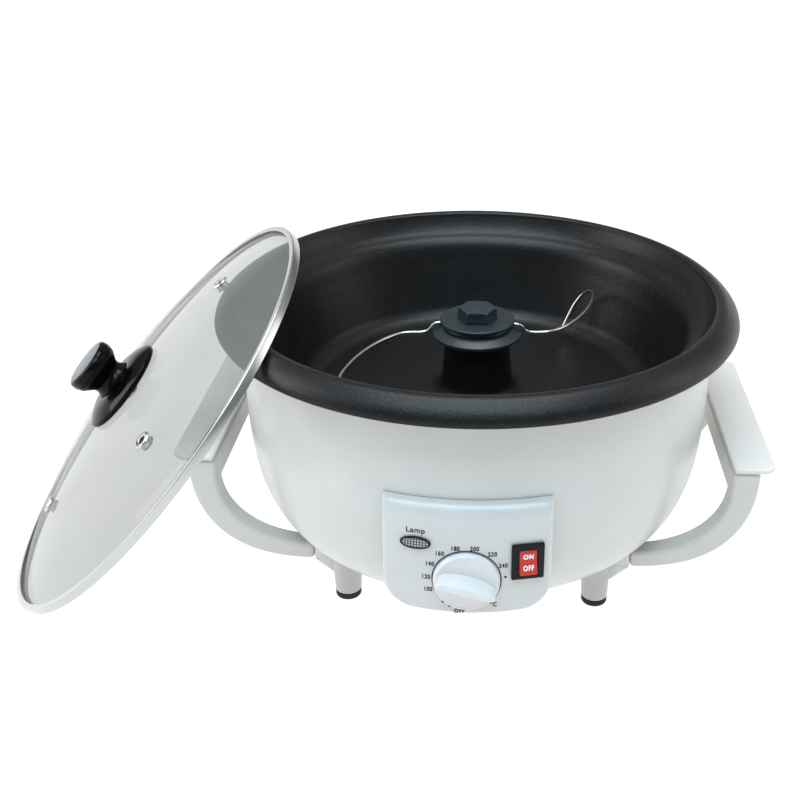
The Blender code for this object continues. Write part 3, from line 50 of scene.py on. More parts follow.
mm = 0.001
scene = bpy.context.scene
gap = 0.3  # millimetres between pieces that touch
largeSteps, knobSteps, smallSteps = 192, 160, 64  # steps round a turned piece


def middle(node):
    low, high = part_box(node)
    return (low + high) / 2


def jointAt(name):
    return next(joint for joint in frame["joints"] if joint["name"] == name)["pos_m"]


axisX, axisY, _ = middle("roasting_pan")


# Points and lines
def onAxis(points):
    # millimetres about the pan's axis to the frame
    return np.asarray(points, float) * mm + (axisX, axisY, 0)


def placer(origin, *axes):
    # returns a function that puts local millimetres at an origin with three axes
    axes = np.array(axes, float)
    return lambda points: np.asarray(points, float) @ axes * mm + np.array(origin, float)


def rotation(angle, axis):
    return Matrix.Rotation(angle, 3, axis)


def unit(vectors):
    return vectors / np.maximum(np.linalg.norm(vectors, axis=-1), 1e-9)[..., None]


def arc(turn):
    # (cos a, sin a)
    return np.column_stack([np.cos(turn), np.sin(turn)])


def circle(count):
    return arc(np.arange(count) * 2 * pi / count)


def ellipse(halfWide, halfTall, steps=64):
    return circle(steps) * (halfWide, halfTall)


def turned(outline, angle):
    # (x cos a - y sin a, x sin a + y cos a)
    return outline @ np.array([[cos(angle), sin(angle)], [-sin(angle), cos(angle)]])


def atLevel(outline, level):
    # a flat outline at one height, or at a height for each of its points
    return np.column_stack([outline, np.broadcast_to(level, len(outline))])


def powerArc(turn, centre, reach, *powers):
    # centre + reach (cos(a)^(2/p), sin(a)^(2/q))
    return arc(turn) ** (2 / np.array([powers[0], powers[-1]])) * reach + centre


def roundCorners(corners, count=6):
    # corners are (x, y, radius); each arc is a rational quadratic of weight sin(half angle)
    line = []
    for index, (x, y, radius) in enumerate(corners):
        spot = np.array((x, y), float)
        if radius == 0 or index in (0, len(corners) - 1):
            line.append(spot[None])
            continue
        before, after = (np.array(corners[other][:2], float) - spot for other in (index - 1, index + 1))
        reach = min(np.hypot(*before), np.hypot(*after)) * 0.49
        before, after = unit(before), unit(after)
        half = np.arccos(np.clip(before @ after, -1, 1)) / 2
        run = min(radius / np.tan(half), reach)
        t = np.linspace(0, 1, count + 1)[:, None]
        weights = (1 - t) ** 2, 2 * t * (1 - t) * sin(half), t ** 2
        sums = weights[0] * (spot + before * run) + weights[1] * spot + weights[2] * (spot + after * run)
        line.append(sums / sum(weights))
    return np.concatenate(line)


def closedCorners(corners, count=6):
    # the same for a closed outline: its last and first corners are repeated at the ends and cut away
    lengths = [1 if radius == 0 else count + 1 for _, _, radius in corners]
    line = roundCorners([corners[-1], *corners, corners[0]], count)
    return line[1:1 + sum(lengths)]


def puckLine(radius, first, last, firstRound, lastRound):
    # half section of a flat disc between two levels
    return roundCorners([(0, first, 0), (radius, first, firstRound), (radius, last, lastRound), (0, last, 0)])


def smoothLine(points, between):
    # Catmull-Rom: p(t) = b + (c-a)t/2 + (2a-5b+4c-d)t^2/2 + (3b-a-3c+d)t^3/2
    route = np.asarray(points, float)
    route = np.vstack([2 * route[0] - route[1], route, 2 * route[-1] - route[-2]])
    a, b, c, d = (route[k:len(route) - 3 + k, None] for k in range(4))
    t = (np.arange(between) / between)[None, :, None]
    line = b + (c - a) * t / 2 + (2 * a - 5 * b + 4 * c - d) * t ** 2 / 2 + (3 * b - a - 3 * c + d) * t ** 3 / 2
    return np.vstack([line.reshape(-1, route.shape[1]), route[-2]])


def sideways(line, distance):
    # an open line moved to its right by the mean normal of its runs
    runs = unit(np.diff(line, axis=0))
    turn = unit(np.vstack([runs[:1], runs[:-1] + runs[1:], runs[-1:]]))
    return line + distance * np.stack([turn[:, 1], -turn[:, 0]], 1)


def inset(outline, distance):
    # a closed anticlockwise outline drawn in by a distance
    ahead = unit(np.roll(outline, -1, 0) - np.roll(outline, 1, 0))
    return outline + distance * np.stack([-ahead[:, 1], ahead[:, 0]], 1)


# Surfaces: each is (rows x columns x 3 points, whether rows close, whether columns close)
def spin(profile, steps=128):
    # (r cos a, r sin a, z) for each point (r, z) of the profile
    radius, height = np.asarray(profile, float).T[..., None]
    cosine, sine = circle(steps).T
    return np.stack([radius * cosine, radius * sine, height + 0 * sine], -1), False, True


def ring(loop, steps=128):
    # a closed loop spun about the axis
    points, _, closed = spin(loop, steps)
    return points, True, closed


def slab(outline, low, high, edge=0.5, steps=4):
    # rounded plate: outline inset by edge(1-sin b) while the level moves edge(1-cos b) from its face
    rise, draw = edge * (1 - arc(np.linspace(0, pi / 2, steps + 1)).T)
    rows = [*zip(draw, low + rise), *zip(draw[::-1], high - rise[::-1])]
    return stack([atLevel(inset(outline, draw), level) for draw, level in rows])


def stack(rings):
    # closed rings one above another, closed at both ends by their middles
    rings = [np.asarray(loop, float) for loop in rings]
    ends = [np.repeat(loop.mean(0)[None], len(loop), 0) for loop in (rings[0], rings[-1])]
    return np.array([ends[0]] + rings + [ends[1]]), False, True


def tube(path, radius, sides=14, guide=(1, -1, 0)):
    # p(s) + radius (n cos a + b sin a), n square to the path and to a fixed guide, with round ends
    ahead = unit(np.gradient(path, axis=0))
    across = unit(np.cross(ahead, guide))
    bend = np.linspace(0, pi / 2, 5)
    across, other = (np.vstack([np.repeat(way[:1], 4, 0), way, np.repeat(way[-1:], 4, 0)])
                     for way in (across, np.cross(ahead, across)))
    path = np.vstack([path[:1] - ahead[:1] * radius * np.cos(bend[:-1, None]), path,
                      path[-1:] + ahead[-1:] * radius * np.sin(bend[1:, None])])
    size = np.concatenate([np.sin(bend[:-1]), np.ones(len(ahead)), np.cos(bend[1:])]) * radius
    cosine, sine = circle(sides).T[..., None]
    return path[:, None] + size[:, None, None] * (across[:, None] * cosine + other[:, None] * sine), False, True


def roundedBox(halfWide, halfTall, radius, count=5):
    # anticlockwise rounded rectangle: corner centres plus radius (cos a, sin a)
    bend = radius * arc(np.linspace(0, pi / 2, count + 1))
    corners = ((1, 1), (-1, 1), (-1, -1), (1, -1))
    return np.concatenate([turned(bend, quarter * pi / 2) + (x * (halfWide - radius), y * (halfTall - radius))
                           for quarter, (x, y) in enumerate(corners)])


# Meshes and objects
def showObject(name, data):
    made = bpy.data.objects.new(name, data)
    scene.collection.objects.link(made)
    return made


def setPaint(mesh, paint):
    mesh.materials.clear()
    mesh.materials.append(paint.owner)


def newMesh(name, points, faces):
    mesh = bpy.data.meshes.new(name)
    mesh.from_pydata(np.asarray(points).tolist(), [], np.asarray(faces).tolist())
    return mesh


def tidyMesh(mesh, sharp=32):
    work = bmesh.new()
    work.from_mesh(mesh)
    bmesh.ops.remove_doubles(work, verts=work.verts, dist=2e-6)
    bmesh.ops.dissolve_degenerate(work, edges=work.edges, dist=1e-7)
    bmesh.ops.recalc_face_normals(work, faces=work.faces)
    work.to_mesh(mesh)
    work.free()
    mesh.shade_smooth()
    mesh.set_sharp_from_angle(angle=radians(sharp))


def showMesh(name, mesh, paint, node=None, body="roaster_base"):
    # stands for the node it names, or for the one that its own name spells
    made = showObject(name, mesh)
    setPaint(mesh, paint)
    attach(made, body)
    node = node or name.replace("-", "_")
    if node in frame["nodes"]:
        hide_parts(node)
    return made


def addPiece(name, surfaces, paint, node=None, place=onAxis, sharp=32, body="roaster_base"):
    # quads over each surface's grid; the map "flow" holds the shares along its columns and rows
    corners, faces, flow, start = [], [], [], 0
    for points, closedRows, closedColumns in surfaces:
        rows, columns = points.shape[:2]
        row = np.arange(rows if closedRows else rows - 1)[:, None]
        column = np.arange(columns if closedColumns else columns - 1)[None]
        nextRow, nextColumn = (row + 1) % rows, (column + 1) % columns
        quads = np.stack([row * columns + column, nextRow * columns + column,
                          nextRow * columns + nextColumn, row * columns + nextColumn], -1)
        faces.append(quads.reshape(-1, 4) + start)
        u0, v0 = column / columns + 0 * row, row / rows + 0 * column
        u1, v1 = u0 + 1 / columns, v0 + 1 / rows
        flow.append(np.stack([u0, v0, u0, v1, u1, v1, u1, v0], -1).reshape(-1, 2))
        corners.append(place(points.reshape(-1, 3)))
        start += rows * columns
    mesh = newMesh(name, np.concatenate(corners), np.concatenate(faces))
    layer = mesh.uv_layers.new(name="flow")
    layer.data.foreach_set("uv", np.concatenate(flow).astype(np.float32).ravel())
    tidyMesh(mesh, sharp)
    return showMesh(name, mesh, paint, node, body)


# Shader values
def tone(*colour):
    # sRGB shares to linear: c/12.92, or ((c+0.055)/1.055)^2.4
    return (*(c / 12.92 if c <= 0.04045 else ((c + 0.055) / 1.055) ** 2.4 for c in colour), 1)


def grey(share):
    return tone(share, share, share)


def dimmed(colour, share):
    return (*(c * share for c in colour[:3]), 1)


def operator(operation):
    # an operator's method and its reflected form
    return (lambda self, other: self.math(operation, self, other),
            lambda self, other: self.math(operation, other, self))


class Level:
    # one shader number; arithmetic on it adds Math nodes
    def __init__(self, nodes, socket):
        self.nodes, self.socket = nodes, socket

    def math(self, operation, *values):
        return self.nodes.level('ShaderNodeMath', {"operation": operation}, dict(enumerate(values)))

    __add__, __radd__ = operator('ADD')
    __sub__, __rsub__ = operator('SUBTRACT')
    __mul__, __rmul__ = operator('MULTIPLY')
    __pow__, __rpow__ = operator('POWER')

    def above(self, other):
        return self.math('GREATER_THAN', self, other)

    def clamped(self):
        return self.math('MINIMUM', self.math('MAXIMUM', self, 0), 1)


class Nodes:
    # the node tree of a material or world, with its shader and short ways to add nodes to it
    def __init__(self, owner, shader, **values):
        owner.use_nodes = True
        self.owner, self.tree = owner, owner.node_tree
        self.shader = next(node for node in self.tree.nodes if node.type == shader)
        for socket, value in values.items():
            self.feed(socket.replace("_", " "), value)

    def feed(self, name, value, node=None):
        socket = (node or self.shader).inputs[name]
        if isinstance(value, Level):
            value = value.socket
        if isinstance(value, bpy.types.NodeSocket):
            self.tree.links.new(value, socket)
        else:
            socket.default_value = value

    def add(self, kind, settings=None, values=None):
        # a ramp's stops are pairs of place and colour, and it eases between them
        node = self.tree.nodes.new(kind)
        for key, value in (settings or {}).items():
            if key == "stops":
                node.color_ramp.interpolation = 'EASE'
                for _ in value[2:]:
                    node.color_ramp.elements.new(0.5)
                for stop, (place, colour) in zip(node.color_ramp.elements[:], value):
                    stop.position, stop.color = place, colour
            else:
                setattr(node, key, value)
        for name, value in (values or {}).items():
            self.feed(name, value, node)
        return node

    def level(self, kind, settings=None, values=None):
        return Level(self, self.add(kind, settings, values).outputs[0])

    def spot(self):
        return self.add('ShaderNodeTexCoord').outputs["Object"]

    def flow(self):
        return self.add('ShaderNodeUVMap', {"uv_map": "flow"}).outputs[0]

    def stretch(self, vector, scale):
        return self.add('ShaderNodeMapping', {}, {0: vector, 3: scale}).outputs[0]

    def noise(self, scale, detail, vector=None):
        # cloudy value about 0.5
        values = {"Vector": vector or self.spot(), "Scale": scale, "Detail": detail}
        return self.level('ShaderNodeTexNoise', {}, values)

    def mix(self, share, first, second):
        return self.add('ShaderNodeMix', {"data_type": 'RGBA'}, {0: share, 6: first, 7: second}).outputs[2]

    def bump(self, height, distance, strength):
        # distance in millimetres
        values = {"Height": height, "Distance": distance * mm, "Strength": strength}
        self.feed("Normal", self.add('ShaderNodeBump', {}, values).outputs[0])

    def split(self, vector):
        return [Level(self, socket) for socket in self.add('ShaderNodeSeparateXYZ', {}, {0: vector}).outputs]


def newPaint(name, colour, roughness, metallic=0.0, **values):
    return Nodes(bpy.data.materials.new(name), 'BSDF_PRINCIPLED', Base_Color=colour, Roughness=roughness,
                 Metallic=metallic, **values)


plasticLook = {"cloud": 34, "dim": 0.94, "roughCloud": 90, "roughSwing": 0.12, "grainScale": 1400}


def plastic(name, colour, roughness, grain=0.012, coat=0.0, **values):
    # moulded plastic: faint cloud in colour, fine grain in the bump, roughness about its mean
    colour = tone(*colour)
    paint = newPaint(name, colour, roughness, Coat_Roughness=0.08, Coat_Weight=coat, **values)
    cloud = ((paint.noise(plasticLook["cloud"], 3) - 0.35) * 2).clamped()
    paint.feed("Base Color", paint.mix(cloud, dimmed(colour, plasticLook["dim"]), colour))
    swing = (paint.noise(plasticLook["roughCloud"], 2) - 0.5) * plasticLook["roughSwing"]
    paint.feed("Roughness", (roughness + swing).clamped())
    paint.bump(paint.noise(plasticLook["grainScale"], 2), grain, 0.5)
    return paint


metalLook = {"drawn": (3, 260, 1), "dim": 0.82, "grain": 0.02}


def metal(name, colour, roughness, swing=0.25):
    # fine lines that run along the piece, as noise drawn out on the flow map
    colour = tone(*colour)
    paint = newPaint(name, colour, roughness, 1.0)
    lines = paint.noise(1, 3, paint.stretch(paint.flow(), metalLook["drawn"]))
    paint.feed("Roughness", (roughness + (lines - 0.5) * swing).clamped())
    paint.feed("Base Color", paint.mix(((lines - 0.3) * 2).clamped(), dimmed(colour, metalLook["dim"]), colour))
    paint.bump(lines, metalLook["grain"], 0.3)
    return paint


print("stage: tools ready")

# Paints
bowlPaint = plastic("shell white", (0.804, 0.808, 0.795), 0.34, coat=0.15)
# legs: the white darkened as painted shade, standing in for the shadow under the bowl
legShadedPaint = plastic("leg white", (0.735, 0.735, 0.725), 0.36)
bracketPaint = plastic("bracket white", (0.85, 0.855, 0.84), 0.4)
handlePaint = plastic("handle white", (0.8, 0.793, 0.773), 0.4, 0.02)
# handle plates: a lit copy of the handle white, lighter as painted light on the plate tops
plateLitPaint = plastic("plate white lit copy", (0.855, 0.84, 0.82), 0.4, 0.02)
panelPaint = plastic("panel white", (0.8, 0.803, 0.795), 0.3, 0.004, 0.25)
dialPaint = plastic("dial white", (0.865, 0.87, 0.87), 0.28, 0.008, 0.2)
hubPaint = plastic("hub slate", (0.1, 0.145, 0.165), 0.4, 0.03)
knobPaint = plastic("knob black", (0.02, 0.02, 0.022), 0.13, 0.003, Specular_IOR_Level=0.14)
# grey for the knob's flat top, a painted reflection of the overhead light
knobReflectionPaint = plastic("knob top painted reflection", (0.4, 0.41, 0.41), 0.34, 0.006)
rockerPaint = plastic("rocker red", (0.77, 0.14, 0.055), 0.36, 0.008)
switchPaint = plastic("switch black", (0.05, 0.055, 0.065), 0.45, Specular_IOR_Level=0.2)
rubberPaint = plastic("foot rubber", (0.07, 0.07, 0.072), 0.75, 0.06)
inletPaint = plastic("inlet rubber", (0.06, 0.06, 0.062), 0.7, 0.05)
motorPaint = plastic("motor black", (0.09, 0.09, 0.095), 0.45, 0.04)
ceramicPaint = plastic("ceramic", (0.85, 0.83, 0.78), 0.6, 0.05)
printPaint = plastic("print black", (0.1, 0.105, 0.12), 0.5)
lightPrintPaint = plastic("print white", (0.93, 0.92, 0.91), 0.5)
neonPaint = plastic("lamp glass", (0.8, 0.45, 0.2), 0.2)
wirePaint = metal("wire steel", (0.84, 0.835, 0.82), 0.2)
bandPaint = metal("polished band", (0.8, 0.8, 0.795), 0.24, 0.14)
eyeletPaint = metal("eyelet steel", (0.84, 0.83, 0.81), 0.16)
zincPaint = metal("zinc", (0.66, 0.66, 0.64), 0.36)
steelPaint = metal("plain steel", (0.62, 0.61, 0.6), 0.3)

# Pan coating, near black: cloud in roughness, small bright flecks where a cell's random value is high
coating = {
    "roughness": 0.36, "fleckScale": 1700, "fleckFrom": 0.8, "fleckShare": 0.3, "cloud": 60, "grainScale": 1100,
    "grain": 0.2}
panPaint = newPaint("pan coating", tone(0.07, 0.07, 0.075), coating["roughness"], Coat_Roughness=0.3,
                    Coat_Weight=0.04, Specular_IOR_Level=0.27)
cells = panPaint.add('ShaderNodeTexVoronoi', {"feature": 'F1'},
                     {"Vector": panPaint.spot(), "Scale": coating["fleckScale"]})
chosen = panPaint.split(cells.outputs["Color"])[0]
near = 1 - Level(panPaint, cells.outputs["Distance"]) * 2.4
fleck = (chosen.above(coating["fleckFrom"]) * near.clamped()).clamped()
cloud = panPaint.noise(coating["cloud"], 4)
dark = panPaint.mix(cloud, tone(0.03, 0.03, 0.031), tone(0.05, 0.05, 0.053))
panPaint.feed("Base Color", panPaint.mix(fleck * coating["fleckShare"], dark, tone(0.5, 0.52, 0.56)))
panPaint.feed("Roughness", (coating["roughness"] + (cloud - 0.5) * 0.16 - fleck * 0.12).clamped())
panPaint.bump(panPaint.noise(coating["grainScale"], 2), coating["grain"], 0.9)

# Clear glass: a share of light passes straight on, the rest is a faint grey film that paints in the glass's
# reflection of the white studio
film = {"alpha": 0.42, "roughness": 0.05, "smear": 26}
glassPaint = newPaint("clear glass with painted reflection film", tone(0.47, 0.465, 0.44), film["roughness"], Specular_IOR_Level=0.15)
smear = glassPaint.noise(film["smear"], 4)
glassPaint.feed("Alpha", (film["alpha"] + (smear - 0.5) * 0.04).clamped())
glassPaint.feed("Roughness", (film["roughness"] + (smear - 0.4) * 0.06).clamped())

# Dark lamp window with a square grid of light dots: 1 - 8 (distance to the nearest grid point - radius)
grid = {"pitch": 1.55, "radius": 0.26}
lampPaint = newPaint("lamp window", tone(0.22, 0.22, 0.23), 0.25, Coat_Weight=0.4, Coat_Roughness=0.05)
x, _, z = lampPaint.split(lampPaint.stretch(lampPaint.spot(), (1 / (grid["pitch"] * mm),) * 3))
x, z = (level.math('FRACT', level) - 0.5 for level in (x, z))
dot = 1 - (((x * x + z * z) ** 0.5 - grid["radius"]) * 8).clamped()
lampPaint.feed("Base Color", lampPaint.mix(dot, tone(0.24, 0.24, 0.25), tone(0.68, 0.67, 0.68)))
print("stage: paints ready")

# Pan: everything in millimetres about the pan's axis
pan = {
    "lip": 160, "level": 164.3, "span": 53.28, "bulge": 21.8, "power": 1.88, "crest": 152, "step": 145,
    "stepRise": 9.7, "reach": 2.8, "wallFoot": 110.4, "depth": 58, "fillet": 14, "sheet": 2, "boss": 20,
    "bossFoot": 23, "bossFillet": 9, "bossDrop": 23, "bossRound": 3.6, "hole": 5.6,
    "seat": ((145, 9.7), (143.2, 5.8), (141.3, 2.4), (139.2, -0.3), (136.6, -2.1), (133.8, -3.6), (131.2, -5.9),
        (129.2, -9.4), (127.6, -14), (126, -19)),
    "lipRoll": ((158.8, 163.4), (159.6, 163.6))}


def panLine():
    # rim: r = lip - span + span cos(a)^(2/p), z = bulge sin(a)^(2/p); the roll is a cubic curve down to the seat
    end = np.arccos((1 - (pan["lip"] - pan["crest"]) / pan["span"]) ** (pan["power"] / 2))
    rim = powerArc(np.linspace(0, end, 26), (pan["lip"] - pan["span"], 0), (pan["span"], pan["bulge"]),
                   pan["power"])
    share = np.linspace(0, 1, 15)[1:, None]
    foot = np.array([pan["step"], pan["stepRise"]])
    leave, arrive = rim[-1] + pan["reach"] * unit(rim[-1] - rim[-2]), foot + (0, pan["reach"])
    roll = (1 - share) ** 3 * rim[-1] + 3 * (1 - share) ** 2 * share * leave
    roll = roll + 3 * (1 - share) * share ** 2 * arrive + share ** 3 * foot
    seat = smoothLine(pan["seat"], 3)
    rest = roundCorners([(*pan["seat"][-1], 0), (pan["wallFoot"], -pan["depth"], pan["fillet"]),
                         (pan["bossFoot"], -pan["depth"], pan["bossFillet"]),
                         (pan["boss"], -pan["bossDrop"], pan["bossRound"]), (pan["hole"], -pan["bossDrop"], 0)], 12)
    return np.vstack([rim, roll, seat[1:], rest[1:]]) + (0, pan["level"])


panUpper = panLine()
panLower = sideways(panUpper, -pan["sheet"])
addPiece("roasting-pan", [ring(np.vstack([panUpper, panLower[::-1], pan["lipRoll"]]), largeSteps)], panPaint)

# Bowl
bowl = {
    "radius": 144.7, "top": 161.3, "depth": 143.8, "side": 4.99, "base": 4.22, "hole": 60.05, "wall": 2.5,
    "seat": 164.7, "rows": 90}


def bowlHeight(radius):
    # z = top - depth (1 - (r/R)^side)^(1/base)
    share = np.clip(radius / bowl["radius"], 0, 1) ** bowl["side"]
    return bowl["top"] - bowl["depth"] * (1 - share) ** (1 / bowl["base"])


def bowlRadius(height):
    # the same curve read the other way: r = R (1 - ((top-z)/depth)^base)^(1/side)
    share = np.clip((bowl["top"] - height) / bowl["depth"], 0, 1) ** bowl["base"]
    return bowl["radius"] * (1 - share) ** (1 / bowl["side"])


def bowlLine(shrink):
    # the same curve by its angle, r = R cos(a)^(2/side), z = top - depth sin(a)^(2/base), below a straight seat
    end = np.arccos((bowl["hole"] / bowl["radius"]) ** (bowl["side"] / 2))
    share = np.linspace(0, 1, bowl["rows"])
    turn = end * (0.5 * share + 0.5 * share ** 2 * (3 - 2 * share))
    line = powerArc(turn, (0, bowl["top"]), (bowl["radius"], -bowl["depth"]), bowl["side"], bowl["base"])
    return sideways(np.vstack([[bowl["radius"], bowl["seat"]], line]), shrink)


addPiece("housing-bowl", [ring(np.vstack([bowlLine(0), bowlLine(bowl["wall"])[::-1]]), largeSteps)], bowlPaint)

# Bottom cover
cover = {"radius": 71, "sheet": 2.6, "rounds": (0.9, 0.4)}
coverTop = bowlHeight(bowl["hole"]) - gap
addPiece("base-cover", [spin(puckLine(cover["radius"], coverTop - cover["sheet"], coverTop, *cover["rounds"]))],
         bowlPaint, "bottom_cover")
print("stage: pan and bowl")

# Legs and feet; a leg's rings are (less than its radius, level above its foot)
leg = {
    "circle": 106.8, "radius": 8.4, "foot": 4.3, "overrun": 0.9,
    "rings": ((7.4, 0), (7.9, 0.5), (8.3, 9), (8.4, 13))}
footLine = roundCorners([(0, 0, 0), (7.8, 0, 1.3), (7.8, 4, 0.5), (4, 4, 0), (4, 10, 0.5), (0, 10, 0)])


def legSurface(x, y):
    # a round leg whose top follows the bowl: z = bowl height at (x, y) + overrun
    rings = [atLevel(circle(smallSteps) * radius + (x, y), leg["foot"] + rise) for radius, rise in leg["rings"]]
    edge = circle(smallSteps) * leg["radius"] + (x, y)
    return stack(rings + [atLevel(edge, bowlHeight(np.hypot(*edge.T)) + leg["overrun"])])


sides = ((-1, "left"), (1, "right"))
quarters = [(across, along, end, side) for across, side in sides for along, end in ((-1, "front"), (1, "back"))]
for across, along, end, side in quarters:
    x, y = across * leg["circle"] * sqrt(0.5), along * leg["circle"] * sqrt(0.5)
    addPiece(f"leg-{end}_{side}", [legSurface(x, y)], legShadedPaint)
    surface, rows, columns = spin(footLine, smallSteps)
    addPiece(f"foot-{end}_{side}", [(surface + (x, y, 0), rows, columns)], rubberPaint)

# Brackets beside the legs
bracket = {
    "inner": 70, "foot": 10.5, "slope": 84, "seam": 96.3, "handleFoot": 20.8, "near": 57, "far": 71,
    "overrun": 0.9, "edge": 0.9}


def bracketSurface(across, low, high):
    # a slab drawn in (x, z) and thick along y; its top follows the bowl: z = min(z, bowl height at (x, y) + overrun)
    top = bowlHeight(np.hypot(bracket["seam"], bracket["far"])) + 3
    outline = closedCorners([(bracket["inner"], bracket["foot"], 1.5), (bracket["slope"], bracket["foot"], 3),
                             (bracket["seam"], bracket["handleFoot"], 0.6), (bracket["seam"], top, 0.3),
                             (bracket["inner"], top, 0.3)], 5)
    points, rows, columns = slab(outline, low, high, bracket["edge"])
    x, z, y = points[..., 0], points[..., 1], points[..., 2]
    z = np.minimum(z, bowlHeight(np.hypot(x, y)) + bracket["overrun"])
    return np.stack([across * x, y, z], -1), rows, columns


for across, along, end, side in quarters:
    low, high = sorted((along * bracket["near"], along * bracket["far"]))
    addPiece(f"bracket-{end}-{side}", [bracketSurface(across, low, high)], bracketPaint)

# Handles: two arms fill the space between two power curves, and the grip joins them at the top
handle = {
    "inner": 153.3, "outer": 170.1, "seam": 96.6, "foot": 20.8, "footTop": 31.2, "top": 88.9, "shoulder": 75.7,
    "under": 71.3, "half": 71, "arm": 14, "outerPower": 2.42, "innerPower": 2.12, "round": 2.6, "runs": 22}
plate = {
    "inward": 0.6, "outward": 8.8, "forward": 1.3, "backward": 5.3, "thick": 2.9, "edge": 1,
    "rounds": (1.6, 8.5, 3, 1.6)}


def armCurve(reach, top, foot, power):
    # x = seam + (reach-seam) cos(a)^(2/p), z = top - (top-foot) sin(a)^(2/p), cut at the grip's levels, with
    # points at equal spacing below them
    curve = powerArc(np.linspace(0, pi / 2, 900), (handle["seam"], top), (reach - handle["seam"], foot - top), power)
    curve = np.vstack([[reach, handle["top"] + 0.01], curve])
    levels = np.array([handle["top"], (handle["top"] + handle["under"]) / 2, handle["under"]])
    grip = np.column_stack([np.interp(levels, curve[::-1, 1], curve[::-1, 0]), levels])
    rest = np.vstack([grip[-1:], curve[curve[:, 1] < handle["under"] - 0.05]])
    run = np.concatenate([[0], np.cumsum(np.hypot(*np.diff(rest, axis=0).T))])
    want = np.linspace(0, run[-1], handle["runs"])
    return np.vstack([grip[:-1], np.column_stack([np.interp(want, run, way) for way in rest.T])])


def handleMesh(name, across):
    # a grid of sections x 4 depths x (outer, inner); between the arms only the sections of the grip are walled
    sections = np.stack([armCurve(handle["outer"], handle["top"], handle["foot"], handle["outerPower"]),
                         armCurve(handle["inner"], handle["shoulder"], handle["footTop"], handle["innerPower"])], 1)
    half, near, last = handle["half"], handle["half"] - handle["arm"], 2
    grid = np.zeros((len(sections), 4, 2, 3))
    grid[..., 0] = across * sections[:, None, :, 0]
    grid[..., 1] = np.array([-half, -near, near, half])[None, :, None]
    grid[..., 2] = sections[:, None, :, 1]
    index = np.arange(grid[..., 0].size).reshape(grid.shape[:3])
    strips = [(index[:, depth, face], index[:, depth + 1, face]) for face in (0, 1) for depth in (0, 2)]
    strips += [(index[:last + 1, 1, face], index[:last + 1, 2, face]) for face in (0, 1)]
    strips += [(index[first:, depth, 0], index[first:, depth, 1])
               for depth, first in ((0, 0), (1, last), (2, last), (3, 0))]
    strips += [(index[0, :, 0], index[0, :, 1]), (index[last, 1:3, 0], index[last, 1:3, 1])]
    strips += [(index[-1, depth:depth + 2, 0], index[-1, depth:depth + 2, 1]) for depth in (0, 2)]
    faces = [np.stack([one[:-1], one[1:], two[1:], two[:-1]], 1) for one, two in strips]
    mesh = newMesh(name, onAxis(grid.reshape(-1, 3)), np.concatenate(faces))
    tidyMesh(mesh, 180)
    return mesh


for across, side in sides:
    title = f"handle-{side}"
    made = showMesh(title, handleMesh(title, across), handlePaint)
    edges = made.modifiers.new("edges", 'BEVEL')
    edges.width, edges.segments, edges.harden_normals = handle["round"] * mm, 4, True
    edges.limit_method, edges.angle_limit = 'ANGLE', radians(50)
    near, far = handle["inner"] + plate["inward"], handle["outer"] + plate["outward"]
    front, back = -handle["half"] - plate["forward"], handle["half"] + plate["backward"]
    corners = zip((near, far, far, near), (front, front, back, back), plate["rounds"])
    surface, rows, columns = slab(closedCorners(list(corners), 10), handle["top"] + gap,
                                  handle["top"] + gap + plate["thick"], plate["edge"])
    addPiece(f"handle-plate-{side}", [(surface * (across, 1, 1), rows, columns)], plateLitPaint)
print("stage: legs and handles")

# Control panel
panel = {
    "radius": 153, "half": 45.2, "foot": 46.7, "top": 113.4, "corner": 15.5, "edge": 2.4, "turn": 103.8,
    "inner": 144.8, "power": 1.7, "wall": 2.2, "sag": 2.4, "draws": (4, 7, 10, 13, 15.5, 20, 26, 32, 38)}
edgeBend = np.linspace(0, pi / 2, 8)
edgeDraws = np.concatenate([[0.0], panel["edge"] * (1 - np.cos(edgeBend)), panel["draws"], [panel["half"]]])
edgeDrops = np.concatenate([[99.0], panel["edge"] * (1 - np.sin(edgeBend)), np.zeros(len(panel["draws"]) + 1)])


def onPanel(x, z, radius):
    # y = -sqrt(radius^2 - x^2), the radius kept off the bowl's own surface
    radius = np.maximum(radius, bowlRadius(z) + 0.35)
    return np.stack([x, -np.sqrt(radius ** 2 - x ** 2), z], -1)


def panelFace():
    # U-shaped rows, each the lower outline drawn in by its edge distance; z grows by sag (x/half)^2 at the foot
    rows = []
    for draw, drop in zip(edgeDraws, edgeDrops):
        corner = max(panel["corner"] - draw, 0)
        half, foot = panel["half"] - draw, panel["foot"] + draw
        bend = np.linspace(pi, 1.5 * pi, 13)
        side = np.column_stack([np.full(16, -half), np.linspace(panel["turn"], foot + corner, 16)])
        turn = corner * arc(bend) + (corner - half, foot + corner)
        floor = atLevel(np.linspace(-half + corner, half - corner, 21), foot)
        other = np.vstack([side, turn])[::-1] * (-1, 1)
        line = np.vstack([side, turn[1:], floor[1:-1], other])
        share = np.clip((panel["turn"] - line[:, 1]) / (panel["turn"] - panel["foot"]), 0, 1)
        line[:, 1] += panel["sag"] * (line[:, 0] / panel["half"]) ** 2 * share
        rows.append(onPanel(line[:, 0], line[:, 1], panel["radius"] - drop))
    return np.array(rows), False, False


def panelBrow():
    # rows run up a round brow: r = inner + (R - inner) cos(a)^(2/p), z = turn + (top - turn) sin(a)^(2/p)
    line = powerArc(np.linspace(0, pi / 2, 22), (panel["inner"], panel["turn"]),
                    (panel["radius"] - panel["inner"], panel["top"] - panel["turn"]), panel["power"])
    across = np.concatenate([edgeDraws - panel["half"], (panel["half"] - edgeDraws)[::-1][1:]])
    drops = np.concatenate([edgeDrops, edgeDrops[::-1][1:]])
    radius, height = line[:, 0, None] - drops[None], line[:, 1, None] + 0 * drops[None]
    return onPanel(across[None] + 0 * height, height, radius), False, False


